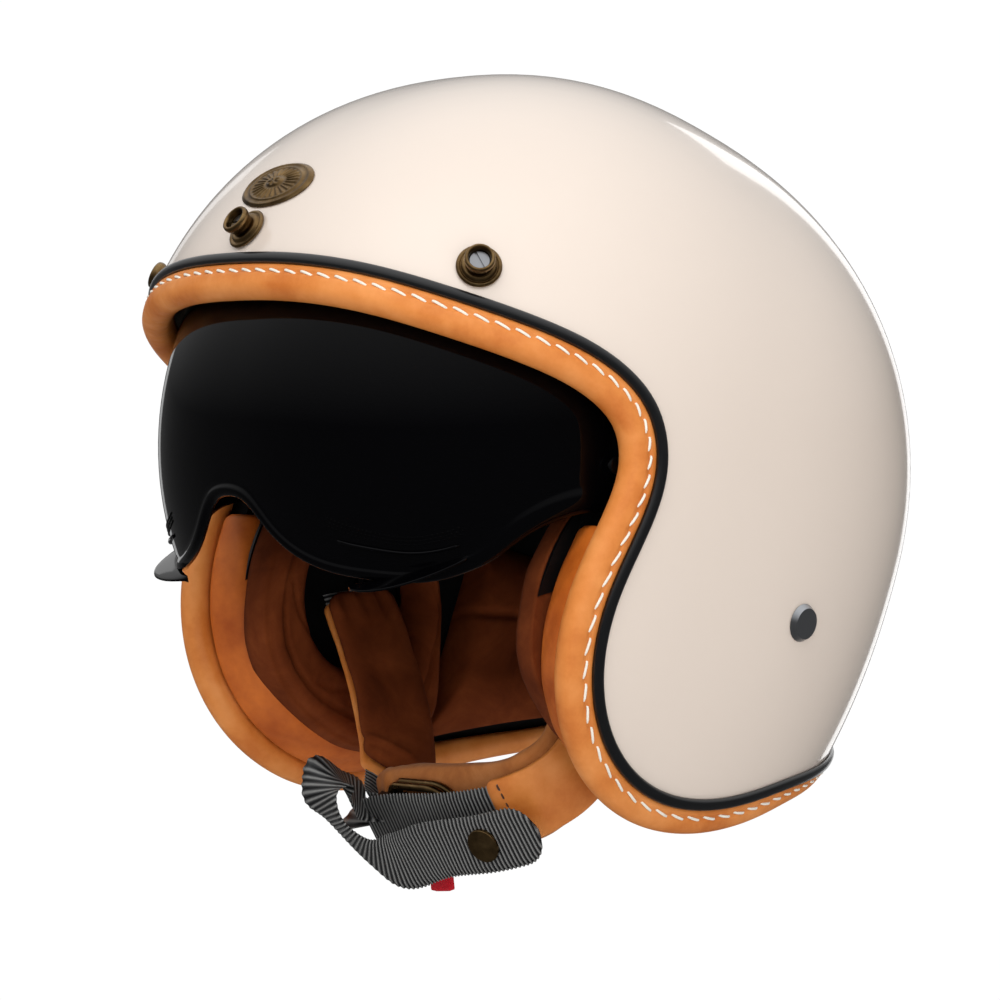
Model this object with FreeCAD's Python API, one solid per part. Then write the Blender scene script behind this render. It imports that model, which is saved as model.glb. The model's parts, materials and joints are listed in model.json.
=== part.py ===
"""Open-face motorcycle helmet with a drop-down inner sun visor and a double D-ring chin strap.

Two frames are used, both in millimetres with +X the wearer's left and -Y the way the wearer faces:
  head frame  the shell's own axes, in which the brow edge is level;
  row frame   the head frame pitched nose-up by PITCH about X, so that the bottom rim stands level.
Head parts are modelled in the head frame and turned when they are written. Strap parts are modelled in
the row frame.
The origin is the centre of the shell's widest section, which is the centre of the wearer's head.
"""

import FreeCAD
import Part
import math
import os

V = FreeCAD.Vector
ORIGIN = V(0, 0, 0)
X_AXIS = V(1, 0, 0)

# ---- driving dimensions, mm ----
PITCH = 20.2
SHELL_HALF_WIDTH = 120.0
SHELL_FRONT = 145.5
SHELL_BACK = 137.4
SHELL_TOP = 136.3
SHELL_BOTTOM = 192.8
PLAN_POWER = 2.38
SIDE_POWER = 2.12
SHELL_WALL = 3.0
LINER_GAP = 0.4

# Side view of the rim, (y, z) in the head frame: from in front of the brow, round the cheek, to the nape.
RIM_OUTLINE = [
    (-160, 22.4), (-144, 21.9), (-118, 19.0), (-92, 17.2), (-68, 13.6), (-50, 4.0), (-41, -12),
    (-40.4, -35), (-41.8, -58), (-36, -81), (-21, -98.8), (10, -109), (43, -101), (68, -87.6),
    (102, -70.5), (124, -57), (150, -40),
]

# Rim trim, measured from the rim curve: q runs out of the shell's edge, n out of its surface.
ROLL_REACH = 12.6
ROLL_TOP = 1.1
ROLL_THICK = 10.8
BEAD_HALF = 2.0
BEAD_HIGH = 2.0

# Inner sun visor: a surface of revolution about the pivot axis, which is parallel to X.
PIVOT_Y = -17.6
PIVOT_Z = 2.5
VISOR_RADIUS = 115.3
VISOR_HALF_WIDTH = 103.0
VISOR_POWER = 2.37
VISOR_WALL = 2.2
VISOR_TOP_ANGLE = 15.0
VISOR_TRAVEL = 47.0
LENS_HALF_WIDTH = 101.6
PIVOT_PIN_R = 3.0
ARM_X = 94.9
ARM_THICK = 2.0
ARM_SCREW_RADIUS = 33.0
ARM_SCREW_ANGLES = (-30.0, -4.0)
CLEARANCE_X = 92.3
RUNNING_GAP = 0.08

# Cavity in the impact liner.
CAVITY = dict(a=89.0, front=110.0, back=109.0, top=108.0, bottom=262.0)
CROWN_PAD = 7.0
CHEEK_PAD = 18.0
NECK_ROLL = 13.0
EAR_Y = 2.0
EAR_Z = -48.0
EAR_DEEP = 26.0
EAR_HIGH = 28.0
FACING_START = -40.0
FACING_END = 60.0
CROWN_JOINT = 52.0
FRONT_JOINT = -52.0
BACK_JOINT = 50.0

# Chin strap.
RIVET_Y = 39.6
RIVET_Z = -38.4
WEB_WIDE = 22.0
WEB_THICK = 1.8
SLEEVE_WIDE = 25.5
SLEEVE_THICK = 4.4
NEAR_LEATHER = (0.02, 0.66)
FAR_LEATHER = (0.03, 0.8)
LOOP_REACH = (0.0, 0.955)
TAIL_REACH = (0.03, 1.0)
SUEDE_WIDE = 32.0
SUEDE_THICK = 8.0
RING_WIRE_R = 1.4
RING_BAR_X = -19.0
RING_LONG = 33.0
RING_HIGH = 26.0
RING_CORNER = 4.0
RING_DEPTHS = (-3.0, -6.1)
KEEPER_WIDE = 17.0
TAB_WIDE = 12.0
SNAP_ALONG = 64.0
CAP_R = 6.1

# Studs, emblem and rivets.
STUD_BASE_R = 7.4
STUD_R = 5.0
STUD_HIGH = 7.6
EMBLEM_Z = 51.9
EMBLEM_LONG = 36.0
EMBLEM_SHORT = 20.5
RIVET_HEAD_R = 6.5


# ---------------------------------------------------------------- small helpers
def natural_spline(points):
    """Natural cubic spline through points (tuples): (its total length, function of length along it)."""
    knots = [0.0]
    for p, q in zip(points, points[1:]):
        knots.append(knots[-1] + math.dist(p, q))
    last = len(points) - 1
    columns = []
    for k in range(len(points[0])):
        y = [p[k] for p in points]
        upper, right = [0.0] * (last + 1), [0.0] * (last + 1)
        for i in range(1, last):
            h0, h1 = knots[i] - knots[i - 1], knots[i + 1] - knots[i]
            pivot = 2 * (h0 + h1) - h0 * upper[i - 1]
            upper[i] = h1 / pivot
            slope = 6 * ((y[i + 1] - y[i]) / h1 - (y[i] - y[i - 1]) / h0)
            right[i] = (slope - h0 * right[i - 1]) / pivot
        bend = [0.0] * (last + 1)
        for i in range(last - 1, 0, -1):
            bend[i] = right[i] - upper[i] * bend[i + 1]
        columns.append((y, bend))

    def at(s):
        i = 0
        while i < last - 1 and s > knots[i + 1]:
            i += 1
        h = knots[i + 1] - knots[i]
        a, b = (knots[i + 1] - s) / h, (s - knots[i]) / h
        return tuple(
            a * y[i] + b * y[i + 1] + ((a**3 - a) * m[i] + (b**3 - b) * m[i + 1]) * h * h / 6
            for y, m in columns
        )

    return knots[-1], at


def row(shape):
    """A head-frame shape turned into the row frame."""
    turned = shape.copy()
    turned.rotate(ORIGIN, X_AXIS, -PITCH)
    return turned


def mirrored(shape):
    return shape.mirror(ORIGIN, X_AXIS)


def both_sides(shape):
    return Part.makeCompound([shape, mirrored(shape)])


def disc(x0, x1, radius, y=0.0, z=0.0):
    """A cylinder along X between x0 and x1."""
    return Part.makeCylinder(radius, x1 - x0, V(x0, y, z), X_AXIS)


def side_prism(points, x0, x1, smooth=False):
    """A side-view outline (y, z), closed, drawn out along X from x0 to x1."""
    corners = [V(x0, y, z) for y, z in points]
    if smooth:
        curve = Part.BSplineCurve()
        curve.interpolate(corners, PeriodicFlag=True)
        wire = Part.Wire([curve.toShape()])
    else:
        wire = Part.makePolygon(corners + corners[:1])
    return Part.Face(wire).extrude(V(x1 - x0, 0, 0))


# ---------------------------------------------------------------- shell surface
class Dome:
    """A rounded block: super-ellipses in plan, closed by super-ellipses upward."""

    def __init__(self, a, front, back, top, bottom):
        self.a, self.front, self.back, self.top, self.bottom = a, front, back, top, bottom

    def inside(self, by):
        return Dome(self.a - by, self.front - by, self.back - by, self.top - by, self.bottom - by)

    def level(self, x, y, z):
        """1 on the surface, less inside it."""
        b = self.front if y < 0 else self.back
        c = self.top if z > 0 else self.bottom
        plan = abs(x / self.a) ** PLAN_POWER + abs(y / b) ** PLAN_POWER
        return (plan ** (SIDE_POWER / PLAN_POWER) + abs(z / c) ** SIDE_POWER) ** (1 / SIDE_POWER)

    def half_width(self, y, z):
        """x of the surface at (y, z), or 0 outside it."""
        b = self.front if y < 0 else self.back
        c = self.top if z > 0 else self.bottom
        level = max(0.0, 1 - abs(z / c) ** SIDE_POWER) ** (PLAN_POWER / SIDE_POWER)
        plan = level - abs(y / b) ** PLAN_POWER
        return self.a * max(0.0, plan) ** (1 / PLAN_POWER)

    def normal(self, p):
        step = 0.01
        steps = (V(step, 0, 0), V(0, step, 0), V(0, 0, step))
        slope = [self.level(*(p + d)) - self.level(*(p - d)) for d in steps]
        return V(*slope).normalize()

    def solid(self, floor=-126.0, first=43.0, last=149.0):
        """The block above the floor, between two planes through an axis below it, as one closed solid."""
        hub_y, hub_z = 5.0, -165.0
        rows, columns = 15, 33
        grid = []
        for i in range(rows):
            angle = math.radians(first + (last - first) * i / (rows - 1))
            lift = (floor - hub_z) / math.sin(angle)
            line = []
            for j in range(columns):
                turn = math.pi * (j / (columns - 1) - 0.5)
                low, high = 0.0, 420.0
                for _ in range(44):
                    reach = (low + high) / 2
                    up = lift + reach * math.cos(turn)
                    x = reach * math.sin(turn)
                    y = hub_y - up * math.cos(angle)
                    z = hub_z + up * math.sin(angle)
                    if self.level(x, y, z) < 1:
                        low = reach
                    else:
                        high = reach
                line.append(V(x, y, z))
            line[0].z = line[-1].z = floor
            grid.append(line)
        skin = Part.BSplineSurface()
        skin.interpolate(grid)
        face = skin.toShape()
        corners = [grid[0][0], grid[0][-1], grid[-1][-1], grid[-1][0]]
        front_line = Part.makeLine(corners[0], corners[1])
        back_line = Part.makeLine(corners[3], corners[2])

        def edge_between(p, q):
            for e in face.Edges:
                ends = [v.Point for v in e.Vertexes]
                if len(ends) == 2 and all(any((r - s).Length < 0.01 for s in ends) for r in (p, q)):
                    return e
            raise ValueError("no such edge")

        front_arch = edge_between(corners[0], corners[1])
        back_arch = edge_between(corners[3], corners[2])
        right = edge_between(corners[0], corners[3])
        left = edge_between(corners[1], corners[2])
        caps = [
            Part.Face(Part.Wire(Part.__sortEdges__([front_arch, front_line]))),
            Part.Face(Part.Wire(Part.__sortEdges__([back_arch, back_line]))),
            Part.makeRuledSurface(right, left),
        ]
        shell = Part.makeShell([face] + caps)
        shell.sewShape()
        solid = Part.makeSolid(shell)
        if solid.Volume < 0:
            solid.reverse()
        return solid


SHELL = Dome(SHELL_HALF_WIDTH, SHELL_FRONT, SHELL_BACK, SHELL_TOP, SHELL_BOTTOM)
CAVITY_DOME = Dome(CAVITY["a"], CAVITY["front"], CAVITY["back"], CAVITY["top"], CAVITY["bottom"])


def rim_keep():
    """Everything above the rim outline, as a prism along X."""
    total, at = natural_spline(RIM_OUTLINE)
    count = 60
    points = [V(-170, *at(total * i / count)) for i in range(count + 1)]
    curve = Part.BSplineCurve()
    curve.interpolate(points)
    top = 200
    lines = Part.makePolygon([points[-1], V(-170, points[-1].y, top), V(-170, points[0].y, top), points[0]])
    wire = Part.Wire([curve.toShape()] + lines.Edges)
    return Part.Face(wire).extrude(V(340, 0, 0))


def rim_frames(count):
    """Places along the left half of the rim, front to back: (point, out of the edge, out of the surface)."""
    total, at = natural_spline(RIM_OUTLINE)

    def width(s):
        return SHELL.half_width(*at(s))

    def meets_centre(s_in, s_out):
        for _ in range(50):
            s = (s_in + s_out) / 2
            s_in, s_out = (s, s_out) if width(s) > 0 else (s_in, s)
        return s_in

    start, end = meets_centre(total * 0.2, 0.0), meets_centre(total * 0.8, total)
    dense = []
    steps = 1600
    for i in range(steps + 1):
        t = i / steps
        ease = t * t * (3 - 2 * t)
        s = start + (end - start) * ease
        dense.append(V(width(s) if 0 < i < steps else 0.0, *at(s)))
    run = [0.0]
    for p, q in zip(dense, dense[1:]):
        run.append(run[-1] + (q - p).Length)
    frames = []
    k = 0
    for i in range(count):
        goal = run[-1] * i / (count - 1)
        while k < steps - 1 and run[k + 1] < goal:
            k += 1
        share = (goal - run[k]) / max(run[k + 1] - run[k], 1e-9)
        point = dense[k] + (dense[k + 1] - dense[k]) * share
        along = (dense[min(k + 4, steps)] - dense[max(k - 3, 0)]).normalize()
        if i in (0, count - 1):
            point.x = 0.0
            along = V(1, 0, 0) if i == 0 else V(-1, 0, 0)
        out = SHELL.normal(point)
        if i in (0, count - 1):
            out.x = 0.0
            out.normalize()
        edge = along.cross(out) * -1
        edge.normalize()
        if i == 0 and edge.z > 0:
            edge = edge * -1
        frames.append((point, edge, out))
    first = frames[0][1]
    if frames[1][1].dot(first) < 0:
        frames = [frames[0]] + [(p, e * -1, n) for p, e, n in frames[1:]]
    return frames


def rim_band(profile, count=46):
    """A closed band round the whole rim. profile lists (q, n) corners of its section."""
    sections = []
    for point, edge, out in rim_frames(count):
        corners = [point + edge * q + out * n for q, n in profile]
        sections.append(Part.makePolygon(corners + corners[:1]))
    half = Part.makeLoft(sections, True, False)
    return half.fuse(mirrored(half)).removeSplitter()


# ---------------------------------------------------------------- shell and rim
def snap_places():
    """The three visor studs on the brow, as (point on the shell, outward direction), head frame."""
    side = V(0, -110.0, 30.0)
    side.x = SHELL.half_width(side.y, side.z)
    middle = V(0, 0, 33.0)
    middle.y = -front_of(SHELL, 33.0)
    places = [middle, side, V(-side.x, side.y, side.z)]
    return [(p, SHELL.normal(p)) for p in places]


def front_of(dome, z):
    c = dome.top if z > 0 else dome.bottom
    return dome.front * (1 - abs(z / c) ** SIDE_POWER) ** (1 / SIDE_POWER)


def rivet_place():
    point = V(SHELL.half_width(RIVET_Y, RIVET_Z), RIVET_Y, RIVET_Z)
    return point, SHELL.normal(point)


def outer_shell(rim_room):
    thick = SHELL.solid().cut(SHELL.inside(SHELL_WALL).solid(-128.0, 42.0, 150.0))
    shell = thick.common(rim_keep())
    for point, out in snap_places():
        shell = shell.cut(Part.makeCylinder(2.2, 12, point - out * 6, out))
    point, out = rivet_place()
    hole = Part.makeCylinder(3.2, 12, point - out * 8, out)
    return shell.cut(hole).cut(mirrored(hole)).cut(rim_room)


def edge_bead():
    low, side, top = 0.25, BEAD_HIGH * 0.6, BEAD_HIGH
    return rim_band([(-BEAD_HALF, low), (-BEAD_HALF, side), (-BEAD_HALF * 0.5, top), (BEAD_HALF * 0.5, top),
                     (BEAD_HALF, side), (BEAD_HALF, low)])


def leather_roll():
    radius = ROLL_THICK / 2
    nose_q, nose_n = ROLL_REACH - radius, ROLL_TOP - radius
    arc = [(nose_q + radius * math.cos(math.radians(a)), nose_n + radius * math.sin(math.radians(a)))
           for a in range(90, -91, -22)]
    inner = [(0.3, -0.2), (BEAD_HALF + 0.1, -0.2), (BEAD_HALF + 0.1, ROLL_TOP)]
    return rim_band(inner + arc + [(0.3, nose_n - radius)])


# ---------------------------------------------------------------- visor
def visor_r(x, inside=0.0):
    """Radius of the visor's outer face at x, or of a face the given distance inside it."""
    share = min(1.0, abs(x) / (VISOR_HALF_WIDTH - inside))
    return (VISOR_RADIUS - inside) * (1 - share**VISOR_POWER) ** (1 / VISOR_POWER)


def turned_band(x0, x1, outer, inner, low, high, count=9):
    """The band between two faces of revolution about the pivot, from x0 to x1 and from angle low to high.

    outer and inner are distances inside the visor's face. Angles rise from straight ahead.
    """
    def corner(x, inside):
        return V(x, PIVOT_Y - visor_r(x, inside), PIVOT_Z)

    def side(inside, limit):
        edge_r = visor_r(limit, outer)
        share = (edge_r / (VISOR_RADIUS - inside)) ** VISOR_POWER
        end = (VISOR_HALF_WIDTH - inside) * (1 - share) ** (1 / VISOR_POWER)
        xs = [x0 + (end - x0) * math.sin(math.pi / 2 * i / (count - 1)) for i in range(count)]
        return [corner(x, inside) for x in xs]

    top, bottom = side(outer, x1), side(inner, x1)
    curves = []
    for line in (top, bottom):
        curve = Part.BSplineCurve()
        curve.interpolate(line)
        curves.append(curve.toShape())
    edges = [curves[0], Part.makeLine(top[-1], bottom[-1]), curves[1], Part.makeLine(bottom[0], top[0])]
    face = Part.Face(Part.Wire(Part.__sortEdges__(edges)))
    centre = V(0, PIVOT_Y, PIVOT_Z)
    face.rotate(centre, X_AXIS, -low)
    return face.revolve(centre, V(-1, 0, 0), high - low)


LENS_LOWER_EDGE = [
    (0, -52.8), (8, -54.2), (14.4, -58.8), (20.7, -64.2), (30, -69.2), (43.4, -71.6), (56, -70.8),
    (67, -68.2),
    (75, -63.6), (83, -56.0), (89, -47.0), (96, -35.0), (104, -20.0),
]


def lens_keep():
    """Everything above the lens's lower edge as seen from the front, as a prism along Y."""
    edge = [(-x, z) for x, z in LENS_LOWER_EDGE[:0:-1]] + LENS_LOWER_EDGE
    curve = Part.BSplineCurve()
    curve.interpolate([V(x, -150, z) for x, z in edge])
    end = edge[-1]
    x, z = end
    lines = Part.makePolygon([V(x, -150, z), V(x, -150, 100), V(-x, -150, 100), V(-x, -150, z)])
    return Part.Face(Part.Wire([curve.toShape()] + lines.Edges)).extrude(V(0, 145, 0))


def visor_lens():
    half = turned_band(0, LENS_HALF_WIDTH, 0, VISOR_WALL, -56, VISOR_TOP_ANGLE)
    lens = half.fuse(mirrored(half)).removeSplitter()
    return lens.common(lens_keep())


def visor_grip():
    """A crescent ledge near the lower edge of one lobe, that the fingers pull on."""
    middle_x, half_length, reach, thick = 62.0, 17.0, 9.0, 2.4
    angle = math.radians(-45.0)
    count = 9
    outer, inner = [], []
    for i in range(count):
        t = -1 + 2 * i / (count - 1)
        x = middle_x + half_length * t
        r = visor_r(x) + 0.25
        inner.append((x, r))
        outer.append((x, r + reach * (1 - t * t) + 0.3))

    def place(x, r, lift):
        y = PIVOT_Y - r * math.cos(angle)
        z = PIVOT_Z + r * math.sin(angle)
        return V(x, y - lift * math.sin(angle) * -1, z + lift * math.cos(angle))

    def wire(lift, taper):
        far = [place(x, r_in + (r - r_in) * taper, lift) for (x, r), (_, r_in) in zip(outer, inner)]
        near = [place(x, r, lift) for x, r in inner]
        a, b = Part.BSplineCurve(), Part.BSplineCurve()
        a.interpolate(far)
        b.interpolate(near)
        edges = [a.toShape(), b.toShape(), Part.makeLine(far[0], near[0]), Part.makeLine(far[-1], near[-1])]
        return Part.Wire(Part.__sortEdges__(edges))

    return Part.makeLoft([wire(-thick / 2, 1.0), wire(thick / 2, 0.85)], True, True)


def arm_sector(x0, x1, inner, outer, low, high):
    """A plate between two planes of constant x: a sector of a ring about the pivot."""
    count = 9
    turns = [math.radians(low + (high - low) * i / (count - 1)) for i in range(count)]
    rim = [(PIVOT_Y - outer * math.cos(a), PIVOT_Z + outer * math.sin(a)) for a in turns]
    root = [(PIVOT_Y - inner * math.cos(a), PIVOT_Z + inner * math.sin(a)) for a in turns[::-1]]
    return side_prism(rim + root, x0, x1)


def pivot_disc(x0, x1, radius):
    return disc(x0, x1, radius, PIVOT_Y, PIVOT_Z)


def arm_screw_places():
    r = ARM_SCREW_RADIUS
    return [(PIVOT_Y - r * math.cos(math.radians(a)), PIVOT_Z + r * math.sin(math.radians(a)))
            for a in ARM_SCREW_ANGLES]


def visor_arm():
    """Left side arm: a plate behind the end of the lens, with an eye round the pivot pin."""
    plate = arm_sector(ARM_X, ARM_X + ARM_THICK, 6.0, 40.0, -40, 8)
    plate = plate.fuse(pivot_disc(ARM_X, ARM_X + ARM_THICK, 9.5))
    plate = plate.cut(pivot_disc(ARM_X - 1, ARM_X + ARM_THICK + 1, PIVOT_PIN_R + RUNNING_GAP))
    for y, z in arm_screw_places():
        plate = plate.cut(disc(ARM_X - 1, ARM_X + ARM_THICK + 1, 1.6, y, z))
    return plate.removeSplitter()


def arm_screws():
    screws = []
    for y, z in arm_screw_places():
        shank = disc(ARM_X - 0.8, 101.4, 1.5, y, z)
        nut = disc(ARM_X - 2.0, ARM_X - 0.2, 2.6, y, z)
        screws.append(shank.fuse(disc(101.4, 102.6, 2.8, y, z)).fuse(nut))
    return Part.makeCompound(screws)


def visor_clearance():
    """The space the visor sweeps, with room round it (left half and right half)."""
    count = 9
    reach = ((0, 137), (30, 136.5), (60, 130), (85, 105), (98, 70), (104.3, 20))
    outer = [V(x, PIVOT_Y - r, PIVOT_Z) for x, r in reach]
    inner = []
    for i in range(count):
        x = CLEARANCE_X * (1 - i / (count - 1))
        inner.append(V(x, PIVOT_Y - visor_r(x, VISOR_WALL + 1.6), PIVOT_Z))
    curves = []
    for line in (outer, inner):
        curve = Part.BSplineCurve()
        curve.interpolate(line)
        curves.append(curve.toShape())
    axle_out, axle_in = V(104.3, PIVOT_Y - 0.5, PIVOT_Z), V(CLEARANCE_X, PIVOT_Y - 0.5, PIVOT_Z)
    lines = Part.makePolygon([outer[-1], axle_out, axle_in, inner[0]])
    join = Part.makeLine(inner[-1], outer[0])
    face = Part.Face(Part.Wire(Part.__sortEdges__(curves + lines.Edges + [join])))
    centre = V(0, PIVOT_Y, PIVOT_Z)
    low, high = -62.0, VISOR_TOP_ANGLE + VISOR_TRAVEL + 5
    face.rotate(centre, X_AXIS, -low)
    return face.revolve(centre, V(-1, 0, 0), high - low)


def pivot_bracket():
    """Plate and boss on the helmet's side that carry the visor's pivot pin (left)."""
    body = pivot_disc(98.2, 103.2, 7.0).fuse(pivot_disc(103.2, 105.2, 16.0))
    body = body.cut(pivot_disc(97, 106, PIVOT_PIN_R + 0.05))
    for turn in (30, 150, 270):
        y = PIVOT_Y + 12 * math.cos(math.radians(turn))
        z = PIVOT_Z + 12 * math.sin(math.radians(turn))
        body = body.cut(disc(102, 106, 1.7, y, z))
    return body.removeSplitter()


def bracket_screws():
    screws = []
    for turn in (30, 150, 270):
        y = PIVOT_Y + 12 * math.cos(math.radians(turn))
        z = PIVOT_Z + 12 * math.sin(math.radians(turn))
        screws.append(disc(103.1, 110.5, 1.5, y, z).fuse(disc(101.8, 103.1, 2.9, y, z)))
    return Part.makeCompound(screws)


def pivot_pin():
    return pivot_disc(94.4, 105.0, PIVOT_PIN_R).fuse(pivot_disc(92.8, 94.4, 5.6))


def friction_washer():
    return pivot_disc(97.25, 97.95, 8.0).cut(pivot_disc(96, 99, PIVOT_PIN_R + 0.2))


# ---------------------------------------------------------------- liner and padding
def spread(outline, x0, x1):
    return side_prism(outline, x0, x1, smooth=True)


CHEEK_OUTLINE = [
    (-24, -20), (-40, -26), (-45.5, -42), (-45.5, -60), (-38, -82), (-18, -98), (10, -105.5),
    (36, -99), (46, -84), (44, -62), (38, -38), (26, -20), (2, -13),
]


def ear_opening(x0, x1, grow=0.0):
    """Elliptical opening round the ear, drawn out along X."""
    ring = Part.Ellipse(ORIGIN, EAR_HIGH + grow, EAR_DEEP + grow).toShape()
    ring.rotate(ORIGIN, V(0, 1, 0), 90)
    ring.translate(V(x0, EAR_Y, EAR_Z))
    return Part.Face(Part.Wire([ring])).extrude(V(x1 - x0, 0, 0))


def cavity_layer(outer, inner):
    """The layer between two depths inside the liner's cavity."""
    core = CAVITY_DOME.inside(inner).solid(-128.0, 38.0, 152.0)
    return CAVITY_DOME.inside(outer).solid(-126.0, 40.0, 150.0).cut(core)


def cheek_layer(outer, inner):
    """Left cheek's share of a cavity layer, with the ear opening cut out."""
    block = spread(CHEEK_OUTLINE, 40, 110)
    return cavity_layer(outer, inner).common(block).cut(ear_opening(40, 120))


def eps_liner(clearance, rim_room):
    body = SHELL.inside(SHELL_WALL + LINER_GAP).solid(-127.0).common(rim_keep())
    body = body.cut(CAVITY_DOME.solid(-140.0, 36.0, 154.0))
    body = body.cut(clearance).cut(mirrored(clearance))
    body = body.cut(rim_room)
    pocket = pivot_disc(84, 103.0, 20.0).fuse(pivot_disc(102.0, 105.4, 17.5))
    for turn in (30, 150, 270):
        y = PIVOT_Y + 12 * math.cos(math.radians(turn))
        z = PIVOT_Z + 12 * math.sin(math.radians(turn))
        pocket = pocket.fuse(disc(105, 111, 1.55, y, z))
    ear = ear_opening(70, 90.0, 2.0)
    anchor = disc(102, 130, 13.0, RIVET_Y, RIVET_Z)
    channel = turned_back(anchor_webbing(WEB_WIDE + 3, WEB_THICK + 3.2, 4.0))
    for tool in (pocket, ear, anchor, channel):
        body = body.cut(tool).cut(mirrored(tool))
    return body


def liner_pieces(liner):
    """The liner's five mouldings: crown, front, back and two sides, with a hair gap between them."""
    far = 200.0
    half_gap = 0.1
    above = Part.makeBox(2 * far, 2 * far, far, V(-far, -far, CROWN_JOINT + half_gap))
    below = Part.makeBox(2 * far, 2 * far, 2 * far, V(-far, -far, CROWN_JOINT - half_gap - 2 * far))
    front = Part.makeBox(2 * far, far, 3 * far, V(-far, FRONT_JOINT - half_gap - far, -2 * far))
    back = Part.makeBox(2 * far, far, 3 * far, V(-far, BACK_JOINT + half_gap, -2 * far))
    deep = BACK_JOINT - FRONT_JOINT - 2 * half_gap
    left = Part.makeBox(far, deep, 3 * far, V(0, FRONT_JOINT + half_gap, -2 * far))
    right = Part.makeBox(far, deep, 3 * far, V(-far, FRONT_JOINT + half_gap, -2 * far))
    ring = liner.common(below)
    return {
        "eps_crown": liner.common(above),
        "eps_front": ring.common(front),
        "eps_back": max(ring.common(back).Solids, key=lambda solid: solid.Volume),
        "eps_side_left": ring.common(left),
        "eps_side_right": ring.common(right),
    }


def turned_back(shape):
    """A row-frame shape in the head frame."""
    back = shape.copy()
    back.rotate(ORIGIN, X_AXIS, PITCH)
    return back


def leather_facing():
    """Leather strip on the front and lower edge of the left cheek, between the roll and the pad."""
    profile = [(0.5, -10.1), (8.0, -10.1), (8.4, -14), (7.2, -24), (3.5, -29.5), (0.5, -29.5)]
    sections = []
    for point, edge, out in rim_frames(61):
        if FACING_START < point.z or point.y > FACING_END:
            continue
        corners = [point + edge * q + out * n for q, n in profile]
        sections.append(Part.makePolygon(corners + corners[:1]))
    return Part.makeLoft(sections, True, False)


def crown_pad():
    layer = cavity_layer(0.6, 0.6 + CROWN_PAD)
    return layer.common(Part.makeBox(300, 300, 200, V(-150, -150, 52)))


def head_band():
    """Padded band round the brow, temples and back of the head."""
    layer = cavity_layer(0.6, 0.6 + CROWN_PAD + 1)
    return layer.common(Part.makeBox(300, 300, 35, V(-150, -150, 15)))


def neck_roll():
    layer = cavity_layer(0.6, 0.6 + NECK_ROLL)
    back = layer.common(Part.makeBox(300, 200, 110, V(-150, 50, -98)))
    return back.common(rim_keep()).cut(Part.makeBox(300, 300, 100, V(-150, -150, -3)))


def cheek_snaps():
    snaps = []
    for y, z in ((-32, -52), (-4, -93), (39, -72)):
        x = CAVITY_DOME.half_width(y, z)
        snaps.append(disc(x - 3.4, x + 4.5, 3.4, y, z))
    return Part.makeCompound(snaps)


# ---------------------------------------------------------------- studs, emblem, rivets
def stud_parts():
    """The three visor studs: bases, sockets, screws and nuts, each a group of three."""
    groups = {"snap_stud_bases": [], "snap_stud_sockets": [], "snap_stud_screws": [], "snap_stud_nuts": []}
    for point, out in snap_places():
        def ring(low, high, radius, hole):
            return Part.makeCylinder(radius, high - low, point + out * low, out).cut(
                Part.makeCylinder(hole, high - low + 2, point + out * (low - 1), out))

        base = ring(0.25, 1.5, STUD_BASE_R, 2.3).fuse(ring(1.5, 2.6, STUD_BASE_R - 1.6, 2.3))
        socket = ring(2.7, STUD_HIGH, STUD_R, 3.5).fuse(ring(2.7, 3.7, STUD_R - 0.6, 2.2))
        screw = Part.makeCylinder(2.0, 11.0, point - out * 7.0, out)
        screw = screw.fuse(Part.makeCylinder(3.2, 1.4, point + out * 3.75, out))
        slot = Part.makeBox(7, 0.8, 0.7, V(-3.5, -0.4, 4.5))
        turn = FreeCAD.Placement(point, FreeCAD.Rotation(V(0, 0, 1), out))
        slot.Placement = turn.multiply(slot.Placement)
        nut = ring(-6.2, -3.3, 4.0, 2.05)
        groups["snap_stud_bases"].append(base.removeSplitter())
        groups["snap_stud_sockets"].append(socket.removeSplitter())
        groups["snap_stud_screws"].append(screw.cut(slot))
        groups["snap_stud_nuts"].append(nut)
    return {name: Part.makeCompound(pieces) for name, pieces in groups.items()}


def nut_pockets():
    return [Part.makeCylinder(5.0, 6.0, point - out * 8.5, out) for point, out in snap_places()]


def emblem_plate():
    centre = V(0, -front_of(SHELL, EMBLEM_Z), EMBLEM_Z)
    out = SHELL.normal(centre)
    oval = Part.Face(Part.Wire([Part.Ellipse(ORIGIN, EMBLEM_LONG / 2, EMBLEM_SHORT / 2).toShape()]))
    block = oval.extrude(V(0, 0, 20))
    block.Placement = FreeCAD.Placement(centre - out * 10, FreeCAD.Rotation(X_AXIS, V(0, 1, 0), out, "ZXY"))
    layer = SHELL.inside(-2.0).solid(-120.0).cut(SHELL.inside(-0.3).solid(-122.0, 42, 150))
    return layer.common(block)


def rivet_parts():
    point, out = rivet_place()
    head = Part.makeCone(RIVET_HEAD_R, RIVET_HEAD_R - 1.2, 1.9, point + out * 0.25, out)
    shank = Part.makeCylinder(3.0, 10.2, point - out * 9.6, out)
    tail = Part.makeCylinder(4.6, 1.2, point - out * 10.3, out)
    rivet = head.fuse(shank).fuse(tail).removeSplitter()
    hole = Part.makeCylinder(3.1, 8, point - out * 11, out)
    plate = Part.makeCylinder(9.5, 1.4, point - out * 4.8, out).cut(hole)
    washer = Part.makeCylinder(6.2, 0.8, point - out * 9.0, out).cut(hole)
    return rivet, plate, washer


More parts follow.
